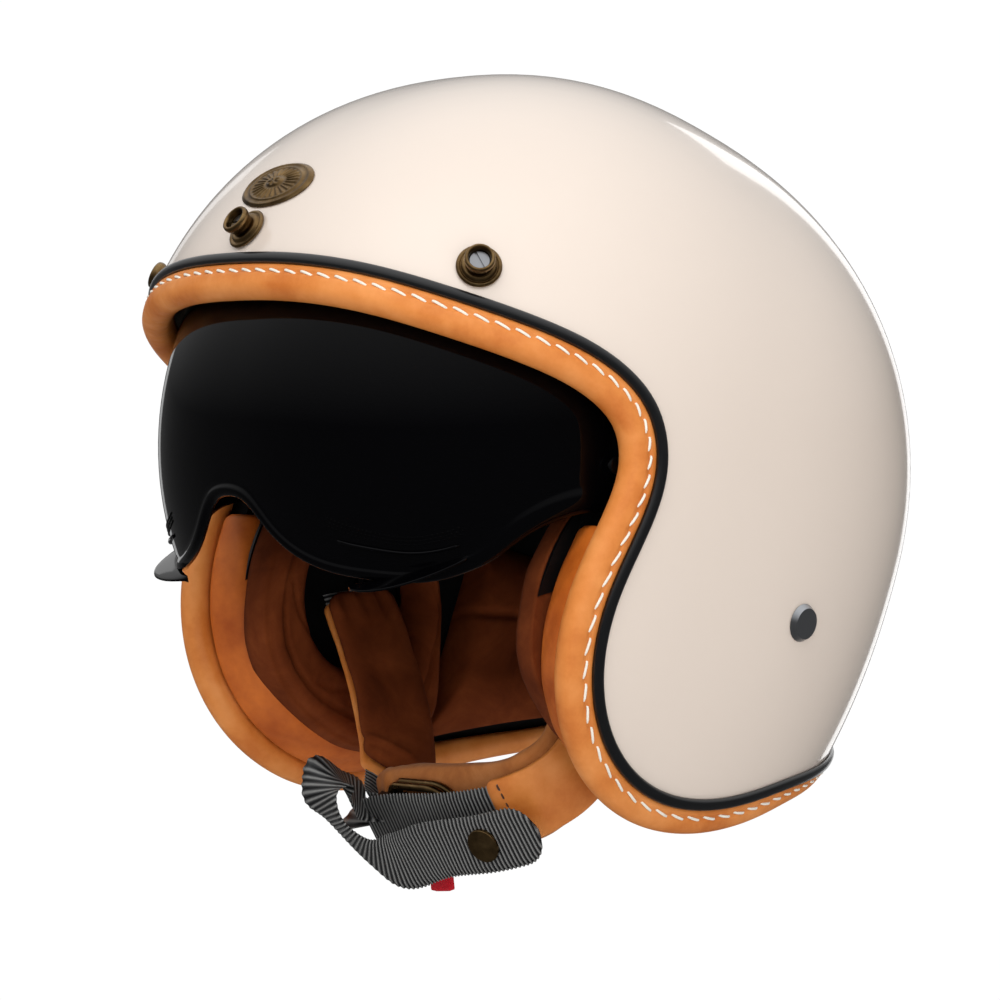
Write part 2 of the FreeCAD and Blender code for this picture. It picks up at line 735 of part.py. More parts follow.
# ---------------------------------------------------------------- chin strap (row frame)
def ribbon(stations, width, thick, lift=0.0, reach=(0.0, 1.0), count=None):
    """A flat band along stations of (centre, width direction).

    lift shifts it along its own normal, and reach trims its ends.
    """
    total, at = natural_spline([tuple(c) + tuple(w) for c, w in stations])
    count = count or 3 * len(stations)

    def sample(share):
        values = at(total * share)
        return V(*values[:3]), V(*values[3:])

    sections = []
    for i in range(count + 1):
        share = reach[0] + (reach[1] - reach[0]) * i / count
        centre, across = sample(share)
        along = (sample(min(share + 0.004, 1.0))[0] - sample(max(share - 0.004, 0.0))[0]).normalize()
        across = (across - along * across.dot(along)).normalize()
        out = along.cross(across)
        middle = centre + out * lift
        corners = [middle + across * (a * width / 2) + out * (b * thick / 2)
                   for a, b in ((1, 1), (1, -1), (-1, -1), (-1, 1))]
        sections.append(Part.makePolygon(corners + corners[:1]))
    band = Part.makeLoft(sections, True, True)
    if band.Volume < 0:
        band.reverse()
    return band


FORWARD = V(0, -1, 0)
BAND_UP = V(0, -0.39, 0.92)

BAND_DOWN = V(0, 0.39, -0.92)
LOOP_ACROSS = V(-0.84, -0.05, 0.54)

NEAR_STRAP = [
    (V(73, -19, -45), FORWARD),
    (V(62, -16, -70), V(0, -1, 0.1)),
    (V(58.5, -17, -88), V(-0.1, -0.85, 0.5)),
    (V(56, -25, -102), V(-0.1, -0.65, 0.75)),
    (V(47, -36, -112), V(0, -0.5, 0.87)),
    (V(27, -42.5, -118.5), BAND_UP),
    (V(4, -43.5, -121.5), BAND_UP),
    (V(-18, -43, -123.5), BAND_UP),
    (V(-33, -42, -126.5), BAND_UP),
]
LOOP = [
    (V(-34.4, -42.1, -126.0), BAND_UP),
    (V(-38.5, -42.8, -123), V(-0.45, -0.3, 0.8)),
    (V(-41, -47, -116), LOOP_ACROSS),
    (V(-36, -55, -109.5), LOOP_ACROSS),
    (V(-32, -61, -106.5), V(-0.84, -0.1, 0.5)),
    (V(-33.5, -64, -109.5), V(-0.9, -0.15, 0.4)),
    (V(-37.5, -61.5, -116), V(-0.92, -0.1, 0.15)),
    (V(-40, -57, -123.5), V(-0.9, 0.1, -0.3)),
    (V(-36.5, -54, -131.5), V(-0.6, 0.3, -0.72)),
    (V(-29, -52.5, -135.8), V(-0.25, 0.36, -0.88)),
]
TAIL = [
    (V(-27, -52.3, -136.3), V(-0.2, 0.36, -0.88)),
    (V(-14, -51, -135.5), BAND_DOWN),
    (V(8, -50, -131.5), BAND_DOWN),
    (V(34, -47.5, -126.6), BAND_DOWN),
    (V(58, -43, -120), BAND_DOWN),
]
FAR_STRAP = [
    (V(-75, -22, -45), FORWARD),
    (V(-65, -20, -66), FORWARD),
    (V(-54, -21, -87), FORWARD),
    (V(-46.5, -23.5, -103), FORWARD),
    (V(-41, -29, -114), V(0, -0.93, 0.35)),
    (V(-34, -36, -121.5), V(0, -0.7, 0.7)),
    (V(-29.2, -38.2, -123.5), V(0, -0.45, 0.89)),
]


def lifted(station, by):
    """A station of the near strap moved towards the throat."""
    centre, across = station
    return centre + V(0, 0.92, 0.39) * by, across


NEAR_PAD = NEAR_STRAP[:4] + [
    lifted(NEAR_STRAP[4], 1.0),
    lifted(NEAR_STRAP[5], 4.5),
    lifted(NEAR_STRAP[6], 5.8),
    lifted(NEAR_STRAP[7], 5.8),
]


def anchor_webbing(width, thick, longer=0.0):
    """Hidden webbing from the left strap rivet through the liner to the ear opening."""
    up = V(0, 0, 1)
    stations = [(V(108.6, 30 + longer, -51), up), (V(108.8, 18, -49), up), (V(99, 4, -47), up),
                (V(85 - longer, -7 - longer / 2, -45), up)]
    return ribbon(stations, width, thick)


def leather_tube(stations, reach):
    """Leather sleeve round the webbing, over the given share of a strap."""
    outer = ribbon(stations, SLEEVE_WIDE, SLEEVE_THICK, 0.0, reach)
    return outer.cut(ribbon(stations, WEB_WIDE + 0.6, WEB_THICK + 0.4))


def ring_frame():
    """Middle of the rings' straight bars, and the directions across, along and out of the band."""
    across = V(BAND_UP).normalize()
    along = V(1, 0, 0.09).normalize()
    along = (along - across * along.dot(across)).normalize()
    return V(RING_BAR_X, -43.0, -123.6), across, along, across.cross(along)


def d_ring(depth):
    """Wire ring, D-shaped: a straight bar across the band and a bow towards the wearer's left."""
    centre, up, side, throat = ring_frame()
    base = centre - throat * depth
    half = RING_HIGH / 2
    top, bottom = base + up * half, base - up * half
    bow_top, bow_bottom = top + side * (RING_LONG - half), bottom + side * (RING_LONG - half)
    r = RING_CORNER
    k = r * (1 - math.sqrt(0.5))
    path = Part.Wire([
        Part.LineSegment(base, bottom + up * r).toShape(),
        Part.Arc(bottom + up * r, bottom + up * k + side * k, bottom + side * r).toShape(),
        Part.LineSegment(bottom + side * r, bow_bottom).toShape(),
        Part.Arc(bow_bottom, base + side * RING_LONG, bow_top).toShape(),
        Part.LineSegment(bow_top, top + side * r).toShape(),
        Part.Arc(top + side * r, top - up * k + side * k, top - up * r).toShape(),
        Part.LineSegment(top - up * r, base).toShape(),
    ])
    section = Part.Wire([Part.Circle(base, up, RING_WIRE_R).toShape()])
    return path.makePipeShell([section], True, False, 2)


def band_block(along0, along1, out0, out1, across):
    """A block laid on the near webbing: spans along the band, towards the throat, and a width across it."""
    centre, up, side, throat = ring_frame()
    corner = centre + side * along0 + throat * out0 - up * (across / 2)
    run, rise = side * (along1 - along0), throat * (out1 - out0)
    outline = Part.makePolygon([corner, corner + run, corner + run + rise, corner + rise, corner])
    return Part.Face(outline).extrude(up * across)


def ring_keeper():
    """Stitched end of the far strap, folded round the straight bars of both rings."""
    centre, up, side, throat = ring_frame()
    body = band_block(-9.5, 3.4, 1.3, 8.6, KEEPER_WIDE)
    for depth in RING_DEPTHS:
        body = body.cut(Part.makeCylinder(RING_WIRE_R + 0.05, 60, centre - throat * depth - up * 30, up))
    return body


def pull_tab():
    """Folded ribbon that hangs behind the strap's tail, for opening the rings."""
    stations = [
        (V(-3, -35.2, -136.4), V(1, 0, 0.09)),
        (V(-3, -34.6, -141), V(1, 0, 0.09)),
        (V(-2.5, -34.2, -147), V(1, 0, 0.2)),
    ]
    return ribbon(stations, TAB_WIDE, 2.2)


def tail_snap():
    """Cap and socket on the strap's tail: (cap, socket, (band's middle, forward, foot of the socket))."""
    total, at = natural_spline([tuple(c) + tuple(w) for c, w in TAIL])
    share = SNAP_ALONG / total
    values = at(total * share)
    ahead = at(total * share + 1)
    middle = V(*values[:3])
    along = (V(*ahead[:3]) - middle).normalize()
    across = V(*values[3:])
    across = (across - along * across.dot(along)).normalize()
    front = along.cross(across)
    if front.y > 0:
        front = front * -1
    skin = WEB_THICK / 2
    cap = Part.makeCylinder(CAP_R, 1.3, middle + front * (skin + 0.05), front)
    top = middle + front * (skin + 1.35)
    cap = cap.makeFillet(0.6, [e for e in cap.Edges if (e.BoundBox.Center - top).Length < 0.05])
    post = Part.makeCylinder(1.6, 2 * skin + 0.25, middle - front * (skin + 0.22), front)
    socket = Part.makeCylinder(4.4, 1.6, middle - front * (skin + 1.8), front)
    back = middle - front * (skin + 1.8 + 0.35)
    return cap, post.fuse(socket).removeSplitter(), (middle, front, back)


def strap_parts():
    """Row-frame parts, by node name."""
    parts = {}
    hidden = anchor_webbing(WEB_WIDE, WEB_THICK)
    point, out = rivet_place()
    hidden = hidden.cut(row(Part.makeCylinder(3.3, 20, point - out * 16, out)))
    hidden = hidden.cut(row(Part.makeCylinder(9.8, 1.7, point - out * 4.95, out)))
    hidden = hidden.cut(row(Part.makeCylinder(6.5, 1.1, point - out * 9.15, out)))
    parts["anchor_webbing_left"] = hidden
    parts["anchor_webbing_right"] = mirrored(hidden)
    parts["strap_webbing_left"] = ribbon(NEAR_STRAP, WEB_WIDE, WEB_THICK)
    parts["strap_webbing_right"] = ribbon(FAR_STRAP, WEB_WIDE, WEB_THICK, 0.0, (0.0, 0.97))
    parts["sleeve_leather_left"] = leather_tube(NEAR_STRAP, NEAR_LEATHER)
    parts["sleeve_leather_right"] = leather_tube(FAR_STRAP, FAR_LEATHER)
    lift = 2.5 + SUEDE_THICK / 2
    parts["sleeve_suede_left"] = ribbon(NEAR_PAD, SUEDE_WIDE, SUEDE_THICK, lift, (0.02, 0.965))
    parts["sleeve_suede_right"] = ribbon(FAR_STRAP, SUEDE_WIDE, SUEDE_THICK, -lift, (0.02, 0.78))
    parts["strap_loop_webbing"] = ribbon(LOOP, WEB_WIDE, WEB_THICK, 0.0, LOOP_REACH)
    cap, socket, (middle, front, back) = tail_snap()
    tail = ribbon(TAIL, WEB_WIDE, WEB_THICK, 0.0, TAIL_REACH)
    tail = tail.cut(Part.makeCylinder(1.65, 20, middle - front * 10, front))
    parts["strap_tail_webbing"] = tail
    parts["tail_snap_cap"] = cap
    parts["tail_snap_socket"] = socket
    leather = parts["sleeve_leather_left"]
    depth = leather.distToShape(Part.Vertex(back))[0]
    stud = Part.makeCylinder(3.0, depth + 1.0, back - front * (depth + 1.0), front)
    foot = Part.makeCylinder(5.5, 2.2, back - front * (depth + 1.0), front)
    hidden_side = ribbon(NEAR_STRAP, SLEEVE_WIDE + 1, SLEEVE_THICK, 0.0, NEAR_LEATHER)
    parts["tail_snap_stud"] = stud.fuse(foot).cut(hidden_side).removeSplitter()
    for name, depth in zip(("d_ring_inner", "d_ring_outer"), RING_DEPTHS):
        parts[name] = d_ring(depth)
    parts["ring_keeper"] = ring_keeper()
    parts["pull_tab"] = pull_tab()
    return parts


def main_parts():
    """Head-frame parts, by node name."""
    parts = {}
    clearance = visor_clearance()
    rim_room = rim_band([(0.15, 4), (16, 4), (16, -30.2), (0.15, -30.2)], 30)
    parts["outer_shell"] = outer_shell(rim_room)
    parts["edge_bead"] = edge_bead()
    parts["leather_edge_roll"] = leather_roll()
    lens = visor_lens()
    for y, z in arm_screw_places():
        hole = disc(95, 106, 1.6, y, z)
        lens = lens.cut(hole).cut(mirrored(hole))
    parts["visor_lens"] = lens
    parts["visor_grips"] = both_sides(visor_grip())
    for name, make in (("visor_arm", visor_arm), ("visor_pivot_bracket", pivot_bracket),
                       ("visor_pivot_pin", pivot_pin), ("leather_facing", leather_facing)):
        shape = make()
        parts[name + "_left"] = shape
        parts[name + "_right"] = mirrored(shape)
    for name, make in (("visor_arm_screws", arm_screws), ("visor_bracket_screws", bracket_screws),
                       ("visor_friction_washers", friction_washer), ("cheek_plate_snaps", cheek_snaps)):
        parts[name] = both_sides(make())
    liner = eps_liner(clearance, rim_room)
    for pocket in nut_pockets():
        liner = liner.cut(pocket)
    boxes = [s.BoundBox for s in cheek_snaps().Solids]
    snap_room = Part.makeCompound([
        disc(b.XMin - 1, b.XMax + 0.3, 3.7, b.Center.y, b.Center.z) for b in boxes
    ])
    liner = liner.cut(snap_room).cut(mirrored(snap_room))
    parts.update(liner_pieces(liner))
    for side, room in (("left", snap_room), ("right", mirrored(snap_room))):
        parts["leather_facing_" + side] = parts["leather_facing_" + side].cut(room)
    plate = cheek_layer(0.3, 1.5).cut(snap_room).cut(rim_room)
    parts["cheek_plate_left"] = plate
    parts["cheek_plate_right"] = mirrored(plate)
    pad = cheek_layer(1.8, CHEEK_PAD).cut(snap_room).cut(rim_room)
    parts["cheek_pad_left"] = pad
    parts["cheek_pad_right"] = mirrored(pad)
    parts["crown_pad"] = crown_pad()
    parts["head_band"] = head_band()
    parts["neck_roll"] = neck_roll().cut(rim_room)
    parts.update(stud_parts())
    parts["emblem_plate"] = emblem_plate()
    rivet, plate, washer = rivet_parts()
    parts["strap_rivets"] = both_sides(rivet)
    parts["strap_anchor_plates"] = both_sides(plate)
    parts["strap_rivet_washers"] = both_sides(washer)
    return parts


def write(parts):
    os.makedirs("parts", exist_ok=True)
    for name, shape in parts.items():
        if not shape.isValid() or not shape.Solids:
            print("BAD", name, shape.isValid(), len(shape.Solids))
        print(name, "solids", len(shape.Solids), "volume", round(shape.Volume / 1000, 2), "cm3")
        shape.exportStep("parts/" + name + ".step")


if __name__ == "__main__":
    write({name: row(shape) for name, shape in main_parts().items()})
    write(strap_parts())
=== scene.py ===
"""Looks for an open-face motorcycle helmet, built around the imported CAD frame.

Lengths in the shape functions are millimetres. Head parts are worked out in the head frame (the shell's own axes) and
turned into the row frame by to_row; strap parts are worked out in the row frame. add_mesh writes metres.
"""

import bpy
import json
import math
from mathutils import Vector, Matrix, noise

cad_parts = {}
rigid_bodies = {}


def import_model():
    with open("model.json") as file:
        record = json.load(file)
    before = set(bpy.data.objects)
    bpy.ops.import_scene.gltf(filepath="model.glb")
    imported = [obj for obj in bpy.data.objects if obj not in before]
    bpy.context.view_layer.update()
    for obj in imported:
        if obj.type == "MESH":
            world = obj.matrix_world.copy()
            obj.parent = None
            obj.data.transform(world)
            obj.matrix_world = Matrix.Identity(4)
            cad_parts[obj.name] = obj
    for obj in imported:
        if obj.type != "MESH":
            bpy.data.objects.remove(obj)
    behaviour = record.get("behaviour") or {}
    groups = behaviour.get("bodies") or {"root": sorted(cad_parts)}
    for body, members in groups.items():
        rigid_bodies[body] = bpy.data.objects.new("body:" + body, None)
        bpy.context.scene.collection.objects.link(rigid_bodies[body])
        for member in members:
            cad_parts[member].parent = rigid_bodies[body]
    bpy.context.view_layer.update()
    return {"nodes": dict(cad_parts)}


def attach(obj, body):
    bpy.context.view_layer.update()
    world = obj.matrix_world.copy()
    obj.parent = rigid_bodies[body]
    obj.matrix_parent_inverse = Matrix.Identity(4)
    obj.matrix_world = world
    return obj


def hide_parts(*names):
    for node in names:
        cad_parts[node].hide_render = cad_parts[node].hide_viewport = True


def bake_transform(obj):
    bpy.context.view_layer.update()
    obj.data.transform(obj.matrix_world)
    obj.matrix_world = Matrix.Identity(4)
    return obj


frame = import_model()
V = Vector
MM = 0.001

# ---- driving dimensions, mm: the same shell, rim, visor and strap as the frame ----
PITCH = 20.2
PLAN_POWER = 2.38
SIDE_POWER = 2.12
RIM_OUTLINE = [
    (-160, 22.4), (-144, 21.9), (-118, 19.0), (-92, 17.2), (-68, 13.6), (-50, 4.0), (-41, -12), (-40.4, -35),
    (-41.8, -58), (-36, -81), (-21, -98.8), (10, -109), (43, -101), (68, -87.6), (102, -70.5), (124, -57), (150, -40),
]
PIVOT_Y = -17.6
PIVOT_Z = 2.5
VISOR_RADIUS = 115.3
VISOR_HALF_WIDTH = 103.0
VISOR_POWER = 2.37
VISOR_WALL = 2.2
LENS_LOWER_EDGE = [
    (0, -52.8), (8, -54.2), (14.4, -58.8), (20.7, -64.2), (30, -69.2), (43.4, -71.6), (56, -70.8), (67, -68.2),
    (75, -63.6), (83, -56.0), (89, -47.0), (96, -35.0), (104, -20.0),
]
WEB_WIDE = 22.0
RIB_PITCH = 1.75
STITCH_PITCH = 7.0


# ---------------------------------------------------------------- helpers
def natural_spline(points):
    """Natural cubic spline through points (tuples), by chord length. Returns (total length, function of length)."""
    knots = [0.0]
    for p, q in zip(points, points[1:]):
        knots.append(knots[-1] + math.dist(p, q))
    last = len(points) - 1
    columns = []
    for k in range(len(points[0])):
        y = [p[k] for p in points]
        upper, right = [0.0] * (last + 1), [0.0] * (last + 1)
        for i in range(1, last):
            h0, h1 = knots[i] - knots[i - 1], knots[i + 1] - knots[i]
            pivot = 2 * (h0 + h1) - h0 * upper[i - 1]
            upper[i] = h1 / pivot
            slope = 6 * ((y[i + 1] - y[i]) / h1 - (y[i] - y[i - 1]) / h0)
            right[i] = (slope - h0 * right[i - 1]) / pivot
        bend = [0.0] * (last + 1)
        for i in range(last - 1, 0, -1):
            bend[i] = right[i] - upper[i] * bend[i + 1]
        columns.append((y, bend))

    def at(s):
        i = 0
        while i < last - 1 and s > knots[i + 1]:
            i += 1
        h = knots[i + 1] - knots[i]
        a, b = (knots[i + 1] - s) / h, (s - knots[i]) / h
        return tuple(
            a * y[i] + b * y[i + 1] + ((a**3 - a) * m[i] + (b**3 - b) * m[i + 1]) * h * h / 6 for y, m in columns
        )

    return knots[-1], at


COS, SIN = math.cos(math.radians(PITCH)), math.sin(math.radians(PITCH))


def to_row(p):
    return V((p[0], p[1] * COS + p[2] * SIN, -p[1] * SIN + p[2] * COS))


def smooth(a, b, x):
    t = max(0.0, min(1.0, (x - a) / (b - a)))
    return t * t * (3 - 2 * t)


def bump(x, width):
    return math.exp(-(x / width) ** 2)


def add_mesh(name, verts, faces, material, head=True, flat=False):
    """A mesh object from points in mm; head-frame points are turned into the row frame."""
    mesh = bpy.data.meshes.new(name)
    mesh.from_pydata([(to_row(v) if head else V(v)) * MM for v in verts], [], faces)
    mesh.validate()
    mesh.update()
    if not flat:
        mesh.polygons.foreach_set("use_smooth", [True] * len(mesh.polygons))
    obj = bpy.data.objects.new(name, mesh)
    bpy.context.scene.collection.objects.link(obj)
    if material:
        mesh.materials.append(material)
    return obj


def grid_faces(rows, cols, wrap=False, start=0, flip=False):
    """Quads of a rows x cols grid of points, wrapped round its columns if asked."""
    faces = []
    for i in range(rows - 1):
        for j in range(cols if wrap else cols - 1):
            a, b = start + i * cols + j, start + i * cols + (j + 1) % cols
            quad = (a, b, b + cols, a + cols)
            faces.append(quad[::-1] if flip else quad)
    return faces


def tube_mesh(rings, closed):
    """(verts, faces) of a tube through rings of equal length: closed into a loop, or capped at both ends."""
    n = len(rings[0])
    verts = [p for ring in rings for p in ring]
    faces = grid_faces(len(rings), n, wrap=True)
    last = (len(rings) - 1) * n
    if closed:
        faces += [(last + j, last + (j + 1) % n, (j + 1) % n, j) for j in range(n)]
    else:
        faces.append(tuple(range(n))[::-1])
        faces.append(tuple(last + j for j in range(n)))
    return verts, faces


def closed_profile(points, count):
    """count points on a smooth closed curve through (a, b) points, evenly spaced by parameter (Catmull-Rom)."""
    n = len(points)
    out = []
    for i in range(count):
        t = i * n / count
        k, f = int(t), t - int(t)
        p0, p1, p2, p3 = (points[(k + d) % n] for d in (-1, 0, 1, 2))
        out.append(tuple(
            0.5 * (2 * p1[c] + (p2[c] - p0[c]) * f + (2 * p0[c] - 5 * p1[c] + 4 * p2[c] - p3[c]) * f * f
                   + (3 * p1[c] - p0[c] - 3 * p2[c] + p3[c]) * f**3) for c in (0, 1)))
    return out


# ---------------------------------------------------------------- shell surface and rim
class Dome:
    """A rounded block: super-ellipses in plan, closed by super-ellipses upward."""

    def __init__(self, a, front, back, top, bottom):
        self.a, self.front, self.back, self.top, self.bottom = a, front, back, top, bottom

    def inside(self, by):
        return Dome(self.a - by, self.front - by, self.back - by, self.top - by, self.bottom - by)

    def level(self, x, y, z):
        b = self.front if y < 0 else self.back
        c = self.top if z > 0 else self.bottom
        plan = abs(x / self.a) ** PLAN_POWER + abs(y / b) ** PLAN_POWER
        return (plan ** (SIDE_POWER / PLAN_POWER) + abs(z / c) ** SIDE_POWER) ** (1 / SIDE_POWER)

    def half_width(self, y, z):
        b = self.front if y < 0 else self.back
        c = self.top if z > 0 else self.bottom
        plan = max(0.0, 1 - abs(z / c) ** SIDE_POWER) ** (PLAN_POWER / SIDE_POWER) - abs(y / b) ** PLAN_POWER
        return self.a * max(0.0, plan) ** (1 / PLAN_POWER)

    def normal(self, p):
        h = 0.01
        g = [self.level(*(p + d)) - self.level(*(p - d)) for d in (V((h, 0, 0)), V((0, h, 0)), V((0, 0, h)))]
        return V(g).normalized()

    def hit(self, origin, ray):
        low, high = 0.0, 330.0
        for _ in range(34):
            mid = (low + high) / 2
            if self.level(*(origin + ray * mid)) < 1:
                low = mid
            else:
                high = mid
        return origin + ray * low


SHELL = Dome(120.0, 145.5, 137.4, 136.3, 192.8)
CAVITY = Dome(89.0, 110.0, 109.0, 108.0, 262.0)


def rim_loop(spacing):
    """Frames round the whole rim, evenly spaced: (point, out of the edge, out of the surface)."""
    total, at = natural_spline(RIM_OUTLINE)

    def cross(inner, outer):
        for _ in range(50):
            mid = (inner + outer) / 2
            inner, outer = (mid, outer) if SHELL.half_width(*at(mid)) > 0 else (inner, mid)
        return inner

    start, end = cross(total * 0.2, 0.0), cross(total * 0.8, total)
    steps = 3000
    dense = []
    for i in range(steps + 1):
        t = i / steps
        s = start + (end - start) * t * t * (3 - 2 * t)
        dense.append(V((SHELL.half_width(*at(s)) if 0 < i < steps else 0.0, *at(s))))
    run = [0.0]
    for p, q in zip(dense, dense[1:]):
        run.append(run[-1] + (q - p).length)
    half = max(8, round(run[-1] / spacing))
    left = []
    k = 0
    for i in range(half + 1):
        goal = run[-1] * i / half
        while k < steps - 1 and run[k + 1] < goal:
            k += 1
        f = (goal - run[k]) / max(run[k + 1] - run[k], 1e-9)
        point = dense[k].lerp(dense[k + 1], f)
        along = (dense[min(k + 6, steps)] - dense[max(k - 5, 0)]).normalized()
        if i in (0, half):
            point.x = 0.0
            along = V((1, 0, 0)) if i == 0 else V((-1, 0, 0))
        out = SHELL.normal(point)
        edge = out.cross(along).normalized()
        left.append((point, edge, out))
    if left[0][1].z > 0:
        left = [(p, e * -1, n) for p, e, n in left]
    mirror = [(V((-p.x, p.y, p.z)), V((-e.x, e.y, e.z)), V((-n.x, n.y, n.z))) for p, e, n in left[1:-1]]
    return left + mirror[::-1], 2 * run[-1]


def outer_shell(material):
    """Painted skin with a smooth outer face, an inner face and a rounded edge."""
    loop, _ = rim_loop(3.4)
    hub = V((0, 0, -15))
    pole = V((0, math.sin(math.radians(35)), math.cos(math.radians(35))))
    rows = 64

    def skin(dome, shift):
        verts = []
        for i in range(rows):
            t = i / rows
            t = t ** 1.15
            for point, edge, out in loop:
                ray = (dome.hit(hub, (point - out * shift - hub).normalized()) - hub).normalized()
                angle = ray.angle(pole)
                ray = (ray * math.sin(angle * (1 - t)) + pole * math.sin(angle * t)) / math.sin(angle)
                verts.append(dome.hit(hub, ray.normalized()))
        verts.append(dome.hit(hub, pole))
        return verts

    n = len(loop)
    outside = skin(SHELL, 0.0)
    inside = skin(SHELL.inside(2.6), 2.6)
    verts = outside + inside
    faces = grid_faces(rows, n, wrap=True)
    top = rows * n
    faces += [((rows - 1) * n + j, (rows - 1) * n + (j + 1) % n, top) for j in range(n)]
    base = len(outside)
    faces += grid_faces(rows, n, wrap=True, start=base, flip=True)
    faces += [(base + (rows - 1) * n + (j + 1) % n, base + (rows - 1) * n + j, base + top) for j in range(n)]
    faces += [(j, base + j, base + (j + 1) % n, (j + 1) % n) for j in range(n)]
    return add_mesh("shell_skin", verts, faces, material)


def rim_sweep(name, profile, spacing, material, vary=None):
    """A closed band round the rim. profile lists (q, n); vary(q, n, s) may move each point, s being the length run."""
    loop, total = rim_loop(spacing)
    rings = []
    for i, (point, edge, out) in enumerate(loop):
        s = total * i / len(loop)
        ring = []
        for q, n in profile:
            if vary:
                q, n = vary(q, n, s, point)
            ring.append(point + edge * q + out * n)
        rings.append(ring)
    verts, faces = tube_mesh(rings, True)
    return add_mesh(name, verts, faces, material)


def edge_bead(material):
    profile = [(-1.9, 0.15), (-2.0, 1.0), (-1.35, 1.85), (0, 2.15), (1.35, 1.85), (2.0, 1.0), (1.9, 0.15), (0, 0.1)]
    return rim_sweep("rim_bead", closed_profile(profile, 20), 2.5, material)


STITCH_Q = 5.0
NAPE_NARROWING = 0.34


def narrowed(point):
    """Share of its reach that the roll keeps: it gets narrower behind the ears, towards the nape."""
    return 1 - NAPE_NARROWING * smooth(50, 110, point.y)



def leather_roll(material):
    profile = [(1.0, -4.0), (1.3, -1.4), (2.1, 0.25), (3.4, 0.9), (5.0, 1.1), (7.2, 1.1), (9.8, 0.45),
               (11.7, -1.3), (12.55, -4.0), (12.0, -6.8), (10.0, -9.0), (7.2, -9.7), (4.0, -9.3), (1.6, -7.2)]

    def pucker(q, n, s, point):
        q *= narrowed(point)
        if n < -3:
            return q, n
        phase = math.cos(2 * math.pi * s / STITCH_PITCH)
        n -= (0.42 + 0.22 * phase) * bump(q - STITCH_Q, 0.85)
        n += 0.05 * math.sin(s * 0.21) * bump(q - 8, 3)
        return q, n

    return rim_sweep("rim_leather_roll", closed_profile(profile, 84), 1.15, material, pucker)


def rim_stitches(material):
    """White saddle stitches that sit in the roll's seam, each dipping into the leather at its ends."""
    loop, total = rim_loop(1.0)
    count = round(total / STITCH_PITCH)
    verts, faces = [], []
    sides, steps = 8, 9
    for k in range(count):
        rings = []
        lean = 0.7
        for i in range(steps):
            t = -1 + 2 * i / (steps - 1)
            place = (k + 0.5 + t * 0.47) / count * len(loop)
            point, edge, out = loop[int(place) % len(loop)]
            nxt = loop[(int(place) + 1) % len(loop)]
            f = place - int(place)
            point, edge, out = point.lerp(nxt[0], f), edge.lerp(nxt[1], f), out.lerp(nxt[2], f)
            across = (STITCH_Q + lean * t) * narrowed(point)
            middle = point + edge * across + out * (1.1 - 1.25 * t**4)
            radius = 0.5 * (1 - 0.35 * abs(t) ** 3)
            ring = []
            for j in range(sides):
                a = 2 * math.pi * j / sides + t * 2.2
                ring.append(middle + edge * (radius * math.cos(a)) + out * (0.85 * radius * math.sin(a)))
            rings.append(ring)
        v, f = tube_mesh(rings, False)
        faces += [tuple(x + len(verts) for x in face) for face in f]
        verts += v
    return add_mesh("rim_stitching", verts, faces, material)


# ---------------------------------------------------------------- visor
def visor_r(x, inside=0.0):
    share = min(1.0, abs(x) / (VISOR_HALF_WIDTH - inside))
    return (VISOR_RADIUS - inside) * (1 - share**VISOR_POWER) ** (1 / VISOR_POWER)


def visor_point(x, angle, lift=0.0):
    """A point on the visor's face at x and angle above straight ahead, lifted off the face."""
    h = 0.05
    lower, upper = visor_r(x - h), visor_r(x + h)
    tilt = math.atan2(upper - lower, 2 * h)
    radius = visor_r(x) + lift * math.cos(tilt)
    x = x - lift * math.sin(tilt)
    return V((x, PIVOT_Y - radius * math.cos(angle), PIVOT_Z + radius * math.sin(angle)))


def lens_low_angle(x, edge_at):
    z = edge_at(abs(x))
    return math.asin(max(-0.84, (z - PIVOT_Z) / visor_r(x)))


def lens_edge_table():
    """z of the lens's lower edge against |x|, from the outline's spline."""
    total, at = natural_spline([(-x, z) for x, z in LENS_LOWER_EDGE[:0:-1]] + LENS_LOWER_EDGE)
    samples = [at(total * i / 1200) for i in range(600, 1201)]

    def edge_at(x):
        for p, q in zip(samples, samples[1:]):
            if q[0] >= x:
                f = (x - p[0]) / max(q[0] - p[0], 1e-9)
                return p[1] + (q[1] - p[1]) * f
        return samples[-1][1]

    return edge_at


LENS_HALF = 100.6


